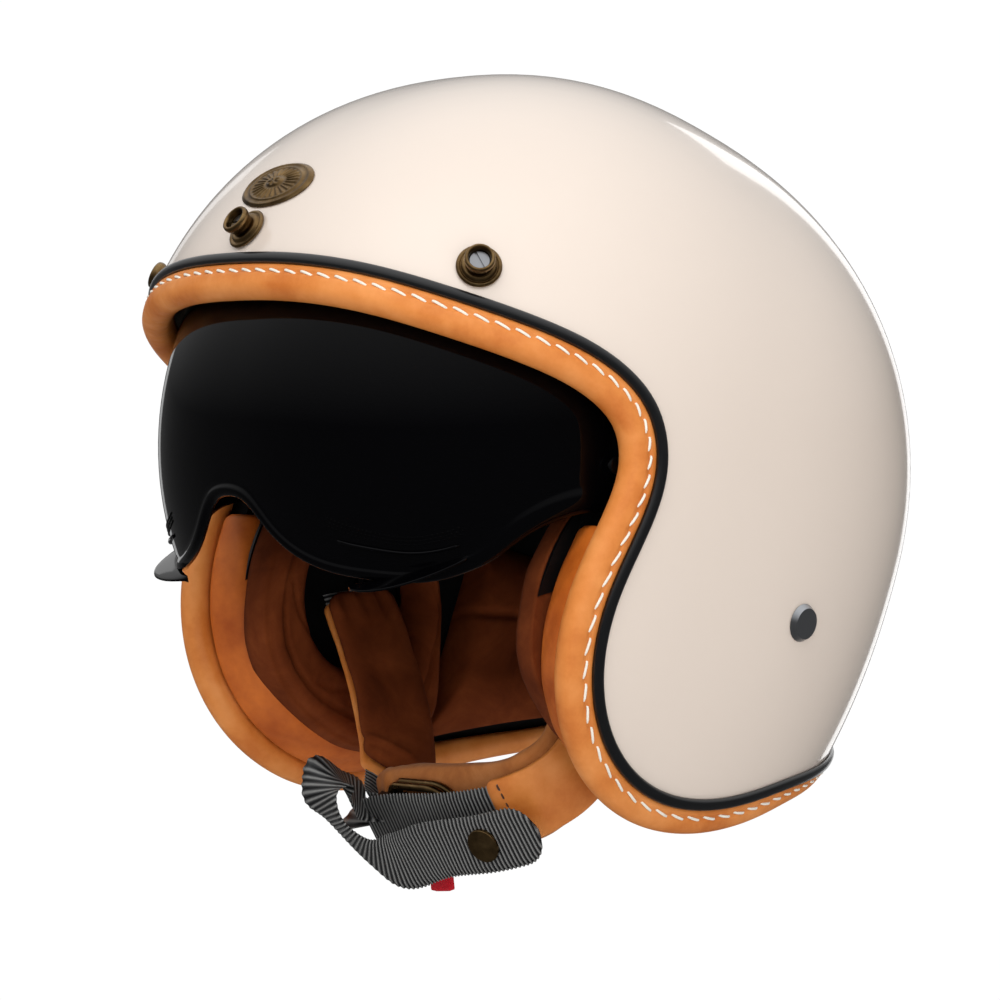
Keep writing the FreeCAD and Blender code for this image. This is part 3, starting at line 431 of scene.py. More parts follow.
def visor_lens(material):
    """Dark glossy lens with a thick rounded rim along its lower edge."""
    edge_at = lens_edge_table()
    cols = 181
    top = math.radians(15.0)
    # distance from the lower edge, lift of the outer face, lift of the inner face
    rim = [(0.0, -1.1, -1.1), (0.15, -0.35, -1.8), (0.5, 0.35, -2.4), (1.1, 0.85, -2.6), (1.9, 1.0, -2.7),
           (2.9, 0.95, -2.7), (3.6, 0.6, -2.5), (4.1, 0.2, -2.3), (4.6, 0.0, -2.2), (6.0, 0.0, -2.2)]
    rest = 22
    grid_out, grid_in = [], []
    for i in range(len(rim) + rest):
        for j in range(cols):
            u = -1 + 2 * j / (cols - 1)
            x = LENS_HALF * math.sin(math.pi / 2 * u * 0.985) / math.sin(math.pi / 2 * 0.985)
            low = lens_low_angle(x, edge_at)
            r = visor_r(x)
            slope = abs(edge_at(abs(x) + 0.5) - edge_at(max(abs(x) - 0.5, 0.0)))
            steep = math.sqrt(1 + slope * slope)
            if i < len(rim):
                d, over, under = rim[i]
                angle = low + d * steep / max(r, 20)
            else:
                d0 = low + rim[-1][0] * steep / max(r, 20)
                angle = d0 + (top - d0) * (i - len(rim) + 1) / rest
                over, under = 0.0, -VISOR_WALL
            angle = min(angle, top)
            fade = smooth(LENS_HALF, LENS_HALF - 3, abs(x))
            grid_out.append(visor_point(x, angle, over * fade - 1.1 * (1 - fade)))
            grid_in.append(visor_point(x, angle, under * fade - 1.1 * (1 - fade)))
    rows = len(rim) + rest
    verts = grid_out + grid_in
    base = len(grid_out)
    faces = grid_faces(rows, cols, flip=True) + grid_faces(rows, cols, start=base)
    top_row = (rows - 1) * cols
    faces += [(top_row + j, top_row + j + 1, base + top_row + j + 1, base + top_row + j)
              for j in range(cols - 1)]
    obj = add_mesh("visor_lens_skin", verts, faces, material)
    weld(obj, 0.02)
    return obj


def weld(obj, distance):
    import bmesh
    work = bmesh.new()
    work.from_mesh(obj.data)
    bmesh.ops.remove_doubles(work, verts=work.verts, dist=distance * MM)
    bmesh.ops.recalc_face_normals(work, faces=work.faces)
    work.to_mesh(obj.data)
    work.free()
    obj.data.polygons.foreach_set("use_smooth", [True] * len(obj.data.polygons))


LEDGE_ANGLE = -45.4
LEDGE_PROFILE = [(0.0, 1.4), (0.5, 1.0), (0.97, 0.45), (1.0, 0.0), (0.97, -0.45), (0.5, -1.0), (0.0, -1.4)]


def visor_grips(material):
    """Finger ledges under both lobes: a crescent fin, a polished ridge above it and rows of grip dots."""
    edge_at = lens_edge_table()
    verts, faces = [], []

    def join(v, f):
        faces.extend(tuple(x + len(verts) for x in face) for face in f)
        verts.extend(v)

    for side in (-1, 1):
        middle, half = 62.0, 17.0
        rings = []
        for i in range(29):
            t = -1 + 2 * i / 28
            x = side * (middle + half * t)
            angle = math.radians(LEDGE_ANGLE)
            reach = 0.4 + 8.2 * (1 - t * t)
            ring = []
            for a, b in closed_profile(LEDGE_PROFILE, 18):
                base = visor_point(x, angle + math.radians(b * 0.32), 0.2 + a * reach)
                ring.append(base + V((0, -0.35 * a * reach * 0.2, b * 0.25)))
            rings.append(ring)
        join(*tube_mesh(rings, False))
        rings = []
        for i in range(29):
            t = -1 + 2 * i / 28
            x = side * (middle + (half - 1) * t)
            angle = lens_low_angle(x, edge_at) + math.radians(6.6)
            ring = []
            for k in range(10):
                a = 2 * math.pi * k / 10
                ring.append(visor_point(x, angle + 0.006 * math.sin(a), 0.35 + 0.75 * (1 - t**6) * math.cos(a)))
            rings.append(ring)
        join(*tube_mesh(rings, False))
        for line in range(3):
            for i in range(30):
                t = -1 + 2 * (i + 0.5 * (line % 2)) / 30
                x = side * (middle + (half + 1) * t)
                angle = lens_low_angle(x, edge_at) + math.radians(8.2 + line * 0.75 + 0.8 * t * t)
                centre = visor_point(x, angle, 0.15)
                out = (visor_point(x, angle, 1.15) - centre).normalized()
                across = out.cross(V((1, 0, 0))).normalized()
                along = across.cross(out)
                dome = []
                for level, size in ((-0.3, 0.42), (0.12, 0.36), (0.3, 0.18)):
                    dome.append([centre + out * level + (across * math.cos(a) + along * math.sin(a)) * size
                                 for a in (2 * math.pi * k / 6 for k in range(6))])
                join(*tube_mesh(dome, False))
    obj = add_mesh("visor_finger_ledges", verts, faces, material)
    weld(obj, 0.001)
    return obj


# ---------------------------------------------------------------- leather facing and padding
def facing(side, material):
    """Leather strip between the roll and the cheek pad, with a creased, puffed face."""
    loop, total = rim_loop(1.6)
    profile = [(0.6, -10.1), (4.0, -10.3), (6.9, -10.6), (8.3, -12.2), (8.6, -15), (8.3, -19), (7.5, -23.5),
               (6.0, -27.2), (3.6, -29.2), (1.4, -29.3), (0.6, -26), (0.5, -18)]
    smooth_profile = closed_profile(profile, 48)
    rings = []
    use = [i for i, (p, e, n) in enumerate(loop) if p.x > 0 and p.z < -36 and p.y < 60]
    for i in use:
        point, edge, out = loop[i]
        s = total * i / len(loop)
        ring = []
        for q, n in smooth_profile:
            if q > 3:
                q += 0.25 * math.sin(s * 0.33 + n * 0.4) * bump(n + 20, 6) - 0.9 * bump(n + 11.0, 1.0)
            ring.append(point + edge * q + out * n)
        rings.append(ring)
    for end in (0, -1):
        centre = sum((p for p in rings[end]), V()) / len(rings[end])
        for k, shrink in ((0, 0.75), (1, 0.95)) if end == 0 else ((-1, 0.75), (-2, 0.95)):
            rings[k] = [centre.lerp(p, shrink) for p in rings[k]]
    if side < 0:
        rings = [[V((-p.x, p.y, p.z)) for p in ring][::-1] for ring in rings]
    verts, faces = tube_mesh(rings, False)
    return add_mesh("leather_facing_" + ("left" if side > 0 else "right") + "_skin", verts, faces, material)


CHEEK_OUTLINE = [(-24, -20), (-40, -26), (-45.5, -42), (-45.5, -60), (-38, -82), (-18, -98), (10, -105.5), (36, -99),
                 (46, -84), (44, -62), (38, -38), (26, -20), (2, -13)]
EAR_CENTRE = (2.0, -48.0)
EAR_DEEP = 26.0
EAR_HIGH = 28.0


def cheek_pad(side, material):
    """Suede cheek pad: a padded ring round the ear opening, with a stitched border and sewn channels."""
    outline = closed_profile(CHEEK_OUTLINE, 720)
    angles = sorted((math.atan2(z - EAR_CENTRE[1], y - EAR_CENTRE[0]), y, z) for y, z in outline)

    def outer_at(angle):
        best = min(angles, key=lambda a: abs(math.atan2(math.sin(a[0] - angle), math.cos(a[0] - angle))))
        return best[1], best[2]

    around, across = 220, 64
    grid = []
    for i in range(around):
        angle = -math.pi + 2 * math.pi * i / around
        oy, oz = outer_at(angle)
        iy = EAR_CENTRE[0] + EAR_DEEP * math.cos(angle) * 0.98
        iz = EAR_CENTRE[1] + EAR_HIGH * math.sin(angle) * 0.98
        ring = []
        for j in range(across):
            turn = 2 * math.pi * j / across
            t = 0.5 - 0.5 * math.cos(turn)
            front = j < across / 2
            y, z = iy + (oy - iy) * (0.02 + 0.96 * t), iz + (oz - iz) * (0.02 + 0.96 * t)
            width = math.dist((iy, iz), (oy, oz))
            edge = min(t, 1 - t) * width
            full = 1 - (1 - min(1, edge / 9.0)) ** 2.6
            depth = 2.4
            if front:
                height = 15.6 * full ** 0.5
                height -= 2.6 * bump(t - 0.60 - 0.05 * math.sin(2 * angle), 0.028)
                height -= 1.3 * bump(t - 0.88, 0.02)
                spoke = math.sin(3.0 * angle + 5.0 * t)
                height -= 1.2 * bump(spoke, 0.10) * smooth(0.60, 0.5, t) * full
                height += 0.5 * noise.noise(V((y * 0.07, z * 0.07, 3.0)))
                height += 0.22 * noise.noise(V((y * 0.25, z * 0.25, 7.0)))
                depth = 2.4 + max(0.0, height)
            x = CAVITY.half_width(y, z) - depth
            ring.append(V((side * x, y, z)))
        grid.append(ring if side > 0 else ring[::-1])
    verts, faces = tube_mesh(grid, True)
    obj = add_mesh("cheek_pad_" + ("left" if side > 0 else "right") + "_cover", verts, faces, material)
    weld(obj, 0.05)
    return obj


def lining_patch(name, angles, rows, cols, depth_at, material, hub=V((0, 0, -15))):
    """A padded patch of the cavity's lining. angles(u, v) gives a direction; depth_at(u, v, p) the thickness there."""
    front, back = [], []
    for i in range(rows):
        for j in range(cols):
            u, v = i / (rows - 1), j / (cols - 1)
            p = CAVITY.hit(hub, angles(u, v))
            n = CAVITY.normal(p)
            front.append(p - n * depth_at(u, v, p))
            back.append(p - n * 0.8)
    verts = front + back
    base = len(front)
    faces = grid_faces(rows, cols) + grid_faces(rows, cols, start=base, flip=True)
    for i in range(rows - 1):
        for j in (0, cols - 1):
            a, b = i * cols + j, (i + 1) * cols + j
            faces.append((a, b, base + b, base + a) if j == 0 else (b, a, base + a, base + b))
    for j in range(cols - 1):
        for i in (0, rows - 1):
            a, b = i * cols + j, i * cols + j + 1
            faces.append((b, a, base + a, base + b) if i == 0 else (a, b, base + b, base + a))
    obj = add_mesh(name, verts, faces, material)
    weld(obj, 0.02)
    return obj


def direction(azimuth, elevation):
    """Unit vector; azimuth 0 looks back (+Y), 90 to the left (+X)."""
    a, e = math.radians(azimuth), math.radians(elevation)
    return V((math.sin(a) * math.cos(e), math.cos(a) * math.cos(e), math.sin(e)))


def pillow(u, v, edge, thick):
    d = min(u, 1 - u, v, 1 - v)
    return 1.0 + thick * (1 - (1 - min(1.0, d / edge)) ** 2.4)


def crown_pad(material):
    def angles(u, v):
        a = (u - 0.5) * 2
        b = (v - 0.5) * 2
        reach = math.radians(52)
        d = V((math.sin(a * reach) * 1.0, math.sin(b * reach) * 1.15 + 0.05, 1.0))
        return d.normalized()

    def depth(u, v, p):
        h = pillow(u, v, 0.05, 5.6)
        h -= 2.2 * (bump(u - 0.5, 0.012) + bump(abs(u - 0.5) - 0.26, 0.012) + bump(abs(v - 0.5) - 0.24, 0.012))
        return max(0.9, h + 0.25 * noise.noise(p * 0.08))

    return lining_patch("crown_pad_cover", angles, 90, 110, depth, material)


def head_band(material):
    def angles(u, v):
        p = CAVITY.hit(V((0, 0, 15.5 + 33.5 * v)), direction(-180 + 360 * u, 0.0))
        return (p - V((0, 0, -15))).normalized()

    def depth(u, v, p):
        h = 1.0 + 6.6 * (1 - (1 - min(1.0, min(v, 1 - v) / 0.2)) ** 2.4)
        seam = min(abs(u * 8 - round(u * 8)), 1) / 8
        h -= 2.6 * bump(seam, 0.004)
        return max(0.9, h + 0.25 * noise.noise(p * 0.09))

    return lining_patch("head_band_cover", angles, 260, 26, depth, material)


def neck_roll(material):
    """Padded roll behind the neck, in three sewn lengths that follow the rim."""
    def angles(u, v):
        azimuth = -58 + 116 * u
        ray = direction(azimuth, 0)
        p = CAVITY.hit(V((0, 0, -10)), ray)
        rim_z = -97 + 0.585 * max(p.y - 52, 0)
        z = rim_z + 7 + (-9 - rim_z - 7) * v
        p = CAVITY.hit(V((0, 0, z)), ray)
        return (p - V((0, 0, -15))).normalized()

    def depth(u, v, p):
        h = 1.0 + 11.4 * (1 - (1 - min(1.0, min(v / 0.30, (1 - v) / 0.24, min(u, 1 - u) / 0.05))) ** 2.2)
        h -= 3.4 * (bump(u - 0.33, 0.008) + bump(u - 0.67, 0.008)) + 2.2 * bump(v - 0.62, 0.02)
        return max(0.9, h + 0.5 * noise.noise(p * 0.07))

    return lining_patch("neck_roll_cover", angles, 200, 60, depth, material)


# ---------------------------------------------------------------- chin strap (row frame)
FORWARD = V((0, -1, 0))
BAND_UP = V((0, -0.39, 0.92))
BAND_DOWN = V((0, 0.39, -0.92))
NEAR_STRAP = [
    (V((73, -19, -45)), FORWARD), (V((62, -16, -70)), V((0, -1, 0.1))), (V((58.5, -17, -88)), V((-0.1, -0.85, 0.5))),
    (V((56, -25, -102)), V((-0.1, -0.65, 0.75))), (V((47, -36, -112)), V((0, -0.5, 0.87))),
    (V((27, -42.5, -118.5)), BAND_UP),
    (V((4, -43.5, -121.5)), BAND_UP), (V((-18, -43, -123.5)), BAND_UP), (V((-33, -42, -126.5)), BAND_UP),
]
LOOP = [
    (V((-34.4, -42.1, -126.0)), BAND_UP), (V((-33.9, -45.5, -118.3)), V((-0.30, -0.20, 0.85))),
    (V((-34.0, -51.7, -112.5)), V((-0.65, 0.0, 0.72))), (V((-33.5, -57.2, -108.1)), V((-0.81, 0.07, 0.58))),
    (V((-32.1, -61.7, -107.4)), V((-0.87, 0.11, 0.48))), (V((-31.3, -65.5, -112.5)), V((-0.97, 0.02, 0.24))),
    (V((-29.5, -65.0, -117.7)), V((-0.98, 0.13, 0.14))), (V((-27.0, -62.1, -123.3)), V((-0.95, 0.31, 0.02))),
    (V((-23.1, -57.6, -129.2)), V((-0.86, 0.45, -0.24))), (V((-16.8, -52.7, -134.5)), V((-0.64, 0.50, -0.58))),
    (V((-11.8, -50.6, -136.0)), V((-0.25, 0.45, -0.86))),
]
TAIL = [(V((8, -50, -131.5)), BAND_DOWN), (V((34, -47.5, -126.6)), BAND_DOWN), (V((58, -43, -120)), BAND_DOWN)]
FAR_STRAP = [
    (V((-75, -22, -45)), FORWARD), (V((-65, -20, -66)), FORWARD), (V((-54, -21, -87)), FORWARD),
    (V((-46.5, -23.5, -103)), FORWARD),
    (V((-41, -29, -114)), V((0, -0.93, 0.35))), (V((-34, -36, -121.5)), V((0, -0.7, 0.7))),
    (V((-29.2, -38.2, -123.5)), V((0, -0.45, 0.89))),
]


HINGE = V((-27.8, -52.4, -136.2))
FOLD = V((8.0, 0.6, 1.2))


def lifted(station, by):
    centre, across = station
    return centre + V((0, 0.92, 0.39)) * by, across


NEAR_PAD = NEAR_STRAP[:4] + [lifted(NEAR_STRAP[4], 1.0), lifted(NEAR_STRAP[5], 4.5), lifted(NEAR_STRAP[6], 5.8),
                             (V((-18, -38.2, -121.8)), BAND_UP), (V((-33, -39.0, -124.5)), BAND_UP)]


def band_path(stations):
    """Length of a strap's path, and its frame at a length: (centre, along, across, out)."""
    total, at = natural_spline([tuple(c) + tuple(w) for c, w in stations])

    def frame_at(s):
        s = max(0.0, min(total, s))
        values = at(s)
        along = (V(at(min(s + 0.5, total))[:3]) - V(at(max(s - 0.5, 0.0))[:3])).normalized()
        across = V(values[3:])
        across = (across - along * across.dot(along)).normalized()
        return V(values[:3]), along, across, along.cross(across)

    return total, frame_at


def webbing(name, paths, material, round_end=False, step=0.29):
    """Ribbed webbing along one or more joined paths: every rib is in the mesh, with looped picot edges. Each rib's
    crest share is also kept in the point attribute rib, which the material uses to paint a highlight on the crests.
    """
    rings = []
    rib_highlight_shares = []
    run = 0.0
    lengths = [band_path(p) for p in paths]
    whole = sum(t for t, _ in lengths)
    half_count = 9
    for total, frame_at in lengths:
        count = max(2, int(total / step))
        for i in range(count + 1):
            s = total * i / count
            if i == 0 and run > 0:
                continue
            centre, along, across, out = frame_at(s)
            here = run + s
            phase = 2 * math.pi * here / RIB_PITCH
            rib = 0.30 * (abs(math.cos(phase / 2)) ** 0.7)
            half = WEB_WIDE / 2 - 0.35 + 0.3 * math.cos(phase)
            if round_end:
                left = whole - here
                if left < 11.0:
                    half *= math.sqrt(max(0.0, 1 - ((11.0 - left) / 11.0) ** 2.4)) * 0.97 + 0.03
            ring = []
            for k in range(half_count):
                a = 1 - 2 * k / (half_count - 1)
                crown = (1 - abs(a) ** 8)
                ring.append(centre + across * (half * a) + out * ((0.42 + rib) * crown + 0.12))
            for k in range(half_count):
                a = -1 + 2 * k / (half_count - 1)
                crown = (1 - abs(a) ** 8)
                ring.append(centre + across * (half * a) - out * ((0.42 + rib) * crown + 0.12))
            rings.append(ring)
            # crest share of this ring, kept for the painted highlight on the rib crests
            rib_highlight_shares += [rib / 0.30] * len(ring)
        run += total
    verts, faces = tube_mesh(rings, False)
    obj = add_mesh(name, verts, faces, material, head=False)
    rib_highlight_shares += [0.0] * (len(obj.data.vertices) - len(rib_highlight_shares))
    # the crest shares go into the point attribute rib: they paint a highlight on the rib crests
    obj.data.attributes.new("rib", "FLOAT", "POINT").data.foreach_set("value", rib_highlight_shares)
    return obj


def sleeve(name, stations, profile, reach, material, step=1.2, vary=None, ends=4.0):
    """A tube of section profile (across, out) in mm along part of a strap, rounded off at both ends."""
    total, frame_at = band_path(stations)
    start, stop = reach[0] * total, reach[1] * total
    count = max(8, int((stop - start) / step))
    mid = (sum(p[0] for p in profile) / len(profile), sum(p[1] for p in profile) / len(profile))
    rings = []
    for i in range(count + 1):
        s = start + (stop - start) * i / count
        centre, along, across, out = frame_at(s)
        to_end = min(s - start, stop - s)
        shrink = math.sqrt(max(0.0, 1 - (1 - min(1.0, to_end / ends)) ** 2)) if ends > 0 else 1.0
        shrink = max(shrink, 0.12)
        ring = []
        for a, b in profile:
            if vary:
                a, b = vary(a, b, s, total)
            a = mid[0] + (a - mid[0]) * (0.55 + 0.45 * shrink)
            b = mid[1] + (b - mid[1]) * shrink
            ring.append(centre + across * a + out * b)
        rings.append(ring)
    verts, faces = tube_mesh(rings, False)
    obj = add_mesh(name, verts, faces, material, head=False)
    return obj


def pill(width, thick, shift, count=40, power=3.2):
    """Closed rounded section: width across the band, thick out of it, centred shift off the path."""
    points = []
    for i in range(count):
        t = 2 * math.pi * i / count
        c, s = math.cos(t), math.sin(t)
        a = width / 2 * math.copysign(abs(c) ** (2 / power), c)
        b = shift + thick / 2 * math.copysign(abs(s) ** (2 / power), s)
        points.append((a, b))
    return points


def tan_sleeve_near(material):
    def crease(a, b, s, total):
        b += 0.35 * math.sin(s * 0.55 + a * 0.12) * smooth(0.15, 0.3, s / total) * (1 - abs(a) / 16)
        b += 0.25 * noise.noise(V((s * 0.12, a * 0.15, 1.0)))
        return a, b

    return sleeve("sleeve_leather_left_skin", NEAR_STRAP, pill(25.5, 4.4, 0.0), (0.02, 0.575), material, vary=crease)


def suede_sleeve_near(material):
    def puff(a, b, s, total):
        share = s / total
        b += 0.8 * noise.noise(V((s * 0.09, a * 0.11, 2.0))) * (1 if b > 6.5 else 0.3)
        gather = smooth(0.55, 0.92, share)
        b = 6.6 + (b - 6.6) * (1 + 0.25 * gather)
        b += 0.55 * math.sin(s * 0.9 + a * 0.1) * smooth(0.86, 0.97, share)
        return a * (1 - 0.50 * gather) + 8.5 * gather, b

    return sleeve("sleeve_suede_left_cover", NEAR_PAD, pill(31.0, 7.6, 6.6, 56, 2.6), (0.03, 0.995), material,
                  vary=puff, ends=7.0)


def tan_sleeve_far(material):
    def crease(a, b, s, total):
        b += 0.3 * noise.noise(V((s * 0.12, a * 0.15, 4.0)))
        return a, b

    return sleeve("sleeve_leather_right_skin", FAR_STRAP, pill(25.5, 4.4, 0.0), (0.03, 0.80), material, vary=crease)


def suede_sleeve_far(material):
    def puff(a, b, s, total):
        share = s / total
        b += 0.9 * noise.noise(V((s * 0.08, a * 0.10, 5.0)))
        b += 0.8 * math.sin(a * 0.75 + s * 0.05) * smooth(0.22, 0.06, share)
        b -= 1.2 * bump(share - 0.72 + a * 0.004, 0.02)
        return a, b

    return sleeve("sleeve_suede_right_cover", FAR_STRAP, pill(31.0, 7.4, -6.5, 56, 2.6), (0.02, 0.78), material,
                  vary=puff, ends=6.0)


def cross_stitches(name, stations, share, material, pitch=3.4, long=2.5, radius=0.4, lift=2.25):
    """A row of stitches across the front of a sleeve."""
    total, frame_at = band_path(stations)
    centre, along, across, out = frame_at(share * total)
    verts, faces = [], []
    place = -10.2
    while place < 10.3:
        rings = []
        for i in range(7):
            t = -1 + i / 3
            middle = centre + across * (place + t * long / 2) - out * (lift - 0.4 * t**4)
            r = radius * (1 - 0.4 * abs(t) ** 3)
            rings.append([middle + along * (r * math.cos(a)) + out * (r * math.sin(a))
                          for a in (2 * math.pi * k / 7 for k in range(7))])
        v, f = tube_mesh(rings, False)
        faces += [tuple(x + len(verts) for x in face) for face in f]
        verts += v
        place += pitch
    return add_mesh(name, verts, faces, material, head=False)


# ---------------------------------------------------------------- materials
def rgb(r, g, b):
    """Linear colour from 0-255 display values."""
    shares = (c / 255 for c in (r, g, b))
    return tuple(c / 12.92 if c <= 0.04045 else ((c + 0.055) / 1.055) ** 2.4 for c in shares) + (1.0,)


class Nodes:
    """A small helper for one material's node tree."""

    def __init__(self, name, colour, rough, metal=0.0, coat=0.0, coat_rough=0.03, sheen=0.0, specular=0.5):
        self.mat = bpy.data.materials.new(name)
        self.mat.use_nodes = True
        self.tree = self.mat.node_tree
        self.shader = next(n for n in self.tree.nodes if n.type == "BSDF_PRINCIPLED")
        self.put("Base Color", colour)
        self.put("Roughness", rough)
        self.put("Metallic", metal)
        self.put("Coat Weight", coat)
        self.put("Coat Roughness", coat_rough)
        self.put("Sheen Weight", sheen)
        self.put("Specular IOR Level", specular)
        self.mat.diffuse_color = colour
        self.coord = None
        self.last_normal = None

    def put(self, socket, value):
        self.shader.inputs[socket].default_value = value

    def link(self, a, b):
        self.tree.links.new(a, b)

    def place(self):
        if not self.coord:
            self.coord = self.tree.nodes.new("ShaderNodeTexCoord")
        return self.coord.outputs["Object"]

    def noise(self, scale, detail=3.0, rough=0.5, distortion=0.0):
        n = self.tree.nodes.new("ShaderNodeTexNoise")
        n.inputs["Scale"].default_value = scale
        n.inputs["Detail"].default_value = detail
        n.inputs["Roughness"].default_value = rough
        n.inputs["Distortion"].default_value = distortion
        self.link(self.place(), n.inputs["Vector"])
        return n.outputs["Fac"]

    def cells(self, scale, feature="F1"):
        n = self.tree.nodes.new("ShaderNodeTexVoronoi")
        n.feature = feature
        n.inputs["Scale"].default_value = scale
        self.link(self.place(), n.inputs["Vector"])
        return n.outputs["Distance"]

    def ramp(self, source, stops):
        n = self.tree.nodes.new("ShaderNodeValToRGB")
        n.color_ramp.elements[0].position, n.color_ramp.elements[0].color = stops[0]
        n.color_ramp.elements[1].position, n.color_ramp.elements[1].color = stops[-1]
        for place, colour in stops[1:-1]:
            element = n.color_ramp.elements.new(place)
            element.color = colour
        self.link(source, n.inputs["Fac"])
        return n.outputs["Color"]

    def tint(self, source, stops):
        self.link(self.ramp(source, stops), self.shader.inputs["Base Color"])

    def gloss(self, source, low, high, a=0.3, b=0.7):
        n = self.tree.nodes.new("ShaderNodeMapRange")
        n.inputs["From Min"].default_value, n.inputs["From Max"].default_value = a, b
        n.inputs["To Min"].default_value, n.inputs["To Max"].default_value = low, high
        self.link(source, n.inputs["Value"])
        self.link(n.outputs["Result"], self.shader.inputs["Roughness"])

    def bump(self, source, distance, strength=1.0):
        n = self.tree.nodes.new("ShaderNodeBump")
        n.inputs["Distance"].default_value = distance * MM
        n.inputs["Strength"].default_value = strength
        self.link(source, n.inputs["Height"])
        if self.last_normal:
            self.link(self.last_normal, n.inputs["Normal"])
        self.last_normal = n.outputs["Normal"]
        self.link(self.last_normal, self.shader.inputs["Normal"])


def make_materials():
    m = {}
    n = Nodes("shell_paint", rgb(224, 210, 198), 0.22, coat=0.8, coat_rough=0.06)
    n.bump(n.noise(900, 2), 0.006, 0.25)
    n.bump(n.noise(28, 2), 0.05, 0.12)
    m["shell_paint"] = n.mat

    n = Nodes("black_bead", rgb(14, 15, 17), 0.3, coat=0.3, coat_rough=0.15)
    n.bump(n.noise(1600, 2), 0.02, 0.3)
    m["black_bead"] = n.mat

    n = Nodes("tan_leather", rgb(208, 124, 54), 0.5, specular=0.35)
    n.tint(n.noise(55, 5, 0.6), [(0.32, rgb(196, 108, 40)), (0.5, rgb(212, 128, 58)), (0.7, rgb(224, 144, 76))])
    n.gloss(n.noise(300, 3), 0.42, 0.6)
    n.bump(n.cells(1500), 0.05, 0.35)
    n.bump(n.noise(420, 4), 0.08, 0.3)
    m["tan_leather"] = n.mat

    n = Nodes("orange_leather", rgb(190, 92, 22), 0.48, specular=0.35)
    n.tint(n.noise(60, 4, 0.6), [(0.3, rgb(168, 76, 14)), (0.7, rgb(206, 108, 34))])
    n.bump(n.cells(1500), 0.05, 0.35)
    n.bump(n.noise(420, 4), 0.08, 0.3)
    m["orange_leather"] = n.mat

    n = Nodes("stitch_white", rgb(238, 232, 218), 0.7, sheen=0.3)
    n.bump(n.noise(2600, 2), 0.05, 0.5)
    m["stitch_white"] = n.mat

    n = Nodes("stitch_brown", rgb(82, 44, 22), 0.7, sheen=0.3)
    n.bump(n.noise(2600, 2), 0.05, 0.5)
    m["stitch_brown"] = n.mat

    n = Nodes("foam_liner", rgb(16, 16, 17), 0.85, specular=0.2)
    n.bump(n.cells(420), 0.12, 0.5)
    m["foam_liner"] = n.mat

    n = Nodes("comfort_cloth", rgb(20, 18, 17), 0.95, sheen=0.1, specular=0.1)
    n.bump(n.cells(1300), 0.12, 0.6)
    n.bump(n.noise(160, 3), 0.15, 0.35)
    m["comfort_cloth"] = n.mat

    # Darker copy of the suede, for the pads inside the helmet and the far sleeve, which lie in shade: its base colour
    # is darkened as painted shade.
    n = Nodes("suede", rgb(100, 46, 20), 0.95, sheen=0.0, specular=0.1)
    n.tint(n.noise(48, 6, 0.65, 0.4), [(0.3, rgb(84, 36, 14)), (0.5, rgb(102, 47, 20)), (0.72, rgb(122, 60, 28))])
    n.bump(n.noise(1500, 5, 0.75), 0.14, 0.7)
    n.bump(n.noise(150, 3), 0.2, 0.35)
    m["suede"] = n.mat

    # Lighter copy of the same suede, for the near sleeve, which stands in the light: painted light.
    n = Nodes("suede_painted_lit", rgb(176, 108, 56), 0.92, sheen=0.1, specular=0.15)
    n.tint(n.noise(48, 6, 0.65, 0.4), [(0.3, rgb(150, 86, 42)), (0.5, rgb(176, 108, 56)), (0.72, rgb(198, 130, 76))])
    n.bump(n.noise(1500, 5, 0.75), 0.14, 0.7)
    n.bump(n.noise(150, 3), 0.2, 0.35)
    m["suede_painted_lit"] = n.mat

    n = Nodes("black_plastic", rgb(12, 12, 13), 0.42, specular=0.3)
    n.bump(n.noise(1400, 3), 0.03, 0.4)
    m["black_plastic"] = n.mat

    n = Nodes("smoke_lens", rgb(2, 2, 3), 0.05, specular=0.14)
    m["smoke_lens"] = n.mat

    n = Nodes("antique_brass", rgb(132, 106, 70), 0.33, metal=1.0)
    n.tint(n.noise(140, 4, 0.6), [(0.3, rgb(92, 72, 46)), (0.55, rgb(132, 106, 70)), (0.75, rgb(160, 132, 90))])
    n.gloss(n.noise(380, 4), 0.24, 0.44)
    n.bump(n.noise(900, 3), 0.02, 0.3)
    m["antique_brass"] = n.mat

    n = Nodes("steel", rgb(170, 172, 176), 0.3, metal=1.0)
    m["steel"] = n.mat

    # Black webbing with a painted highlight: the rib crests are tinted light grey from the point attribute rib, the
    # hollows between them near black.
    n = Nodes("black_webbing", rgb(15, 15, 17), 0.38, specular=0.5)
    rib_highlight_attr = n.tree.nodes.new("ShaderNodeAttribute")
    rib_highlight_attr.attribute_name = "rib"
    n.tint(rib_highlight_attr.outputs["Fac"], [(0.35, rgb(8, 8, 9)), (0.8, rgb(60, 60, 61)), (1.0, rgb(132, 132, 130))])
    n.bump(n.noise(2400, 3), 0.10, 0.6)
    m["black_webbing"] = n.mat

    n = Nodes("red_ribbon", rgb(200, 10, 34), 0.42, specular=0.3)
    n.bump(n.noise(1800, 2), 0.06, 0.5)
    m["red_ribbon"] = n.mat
    return m


MAT = make_materials()


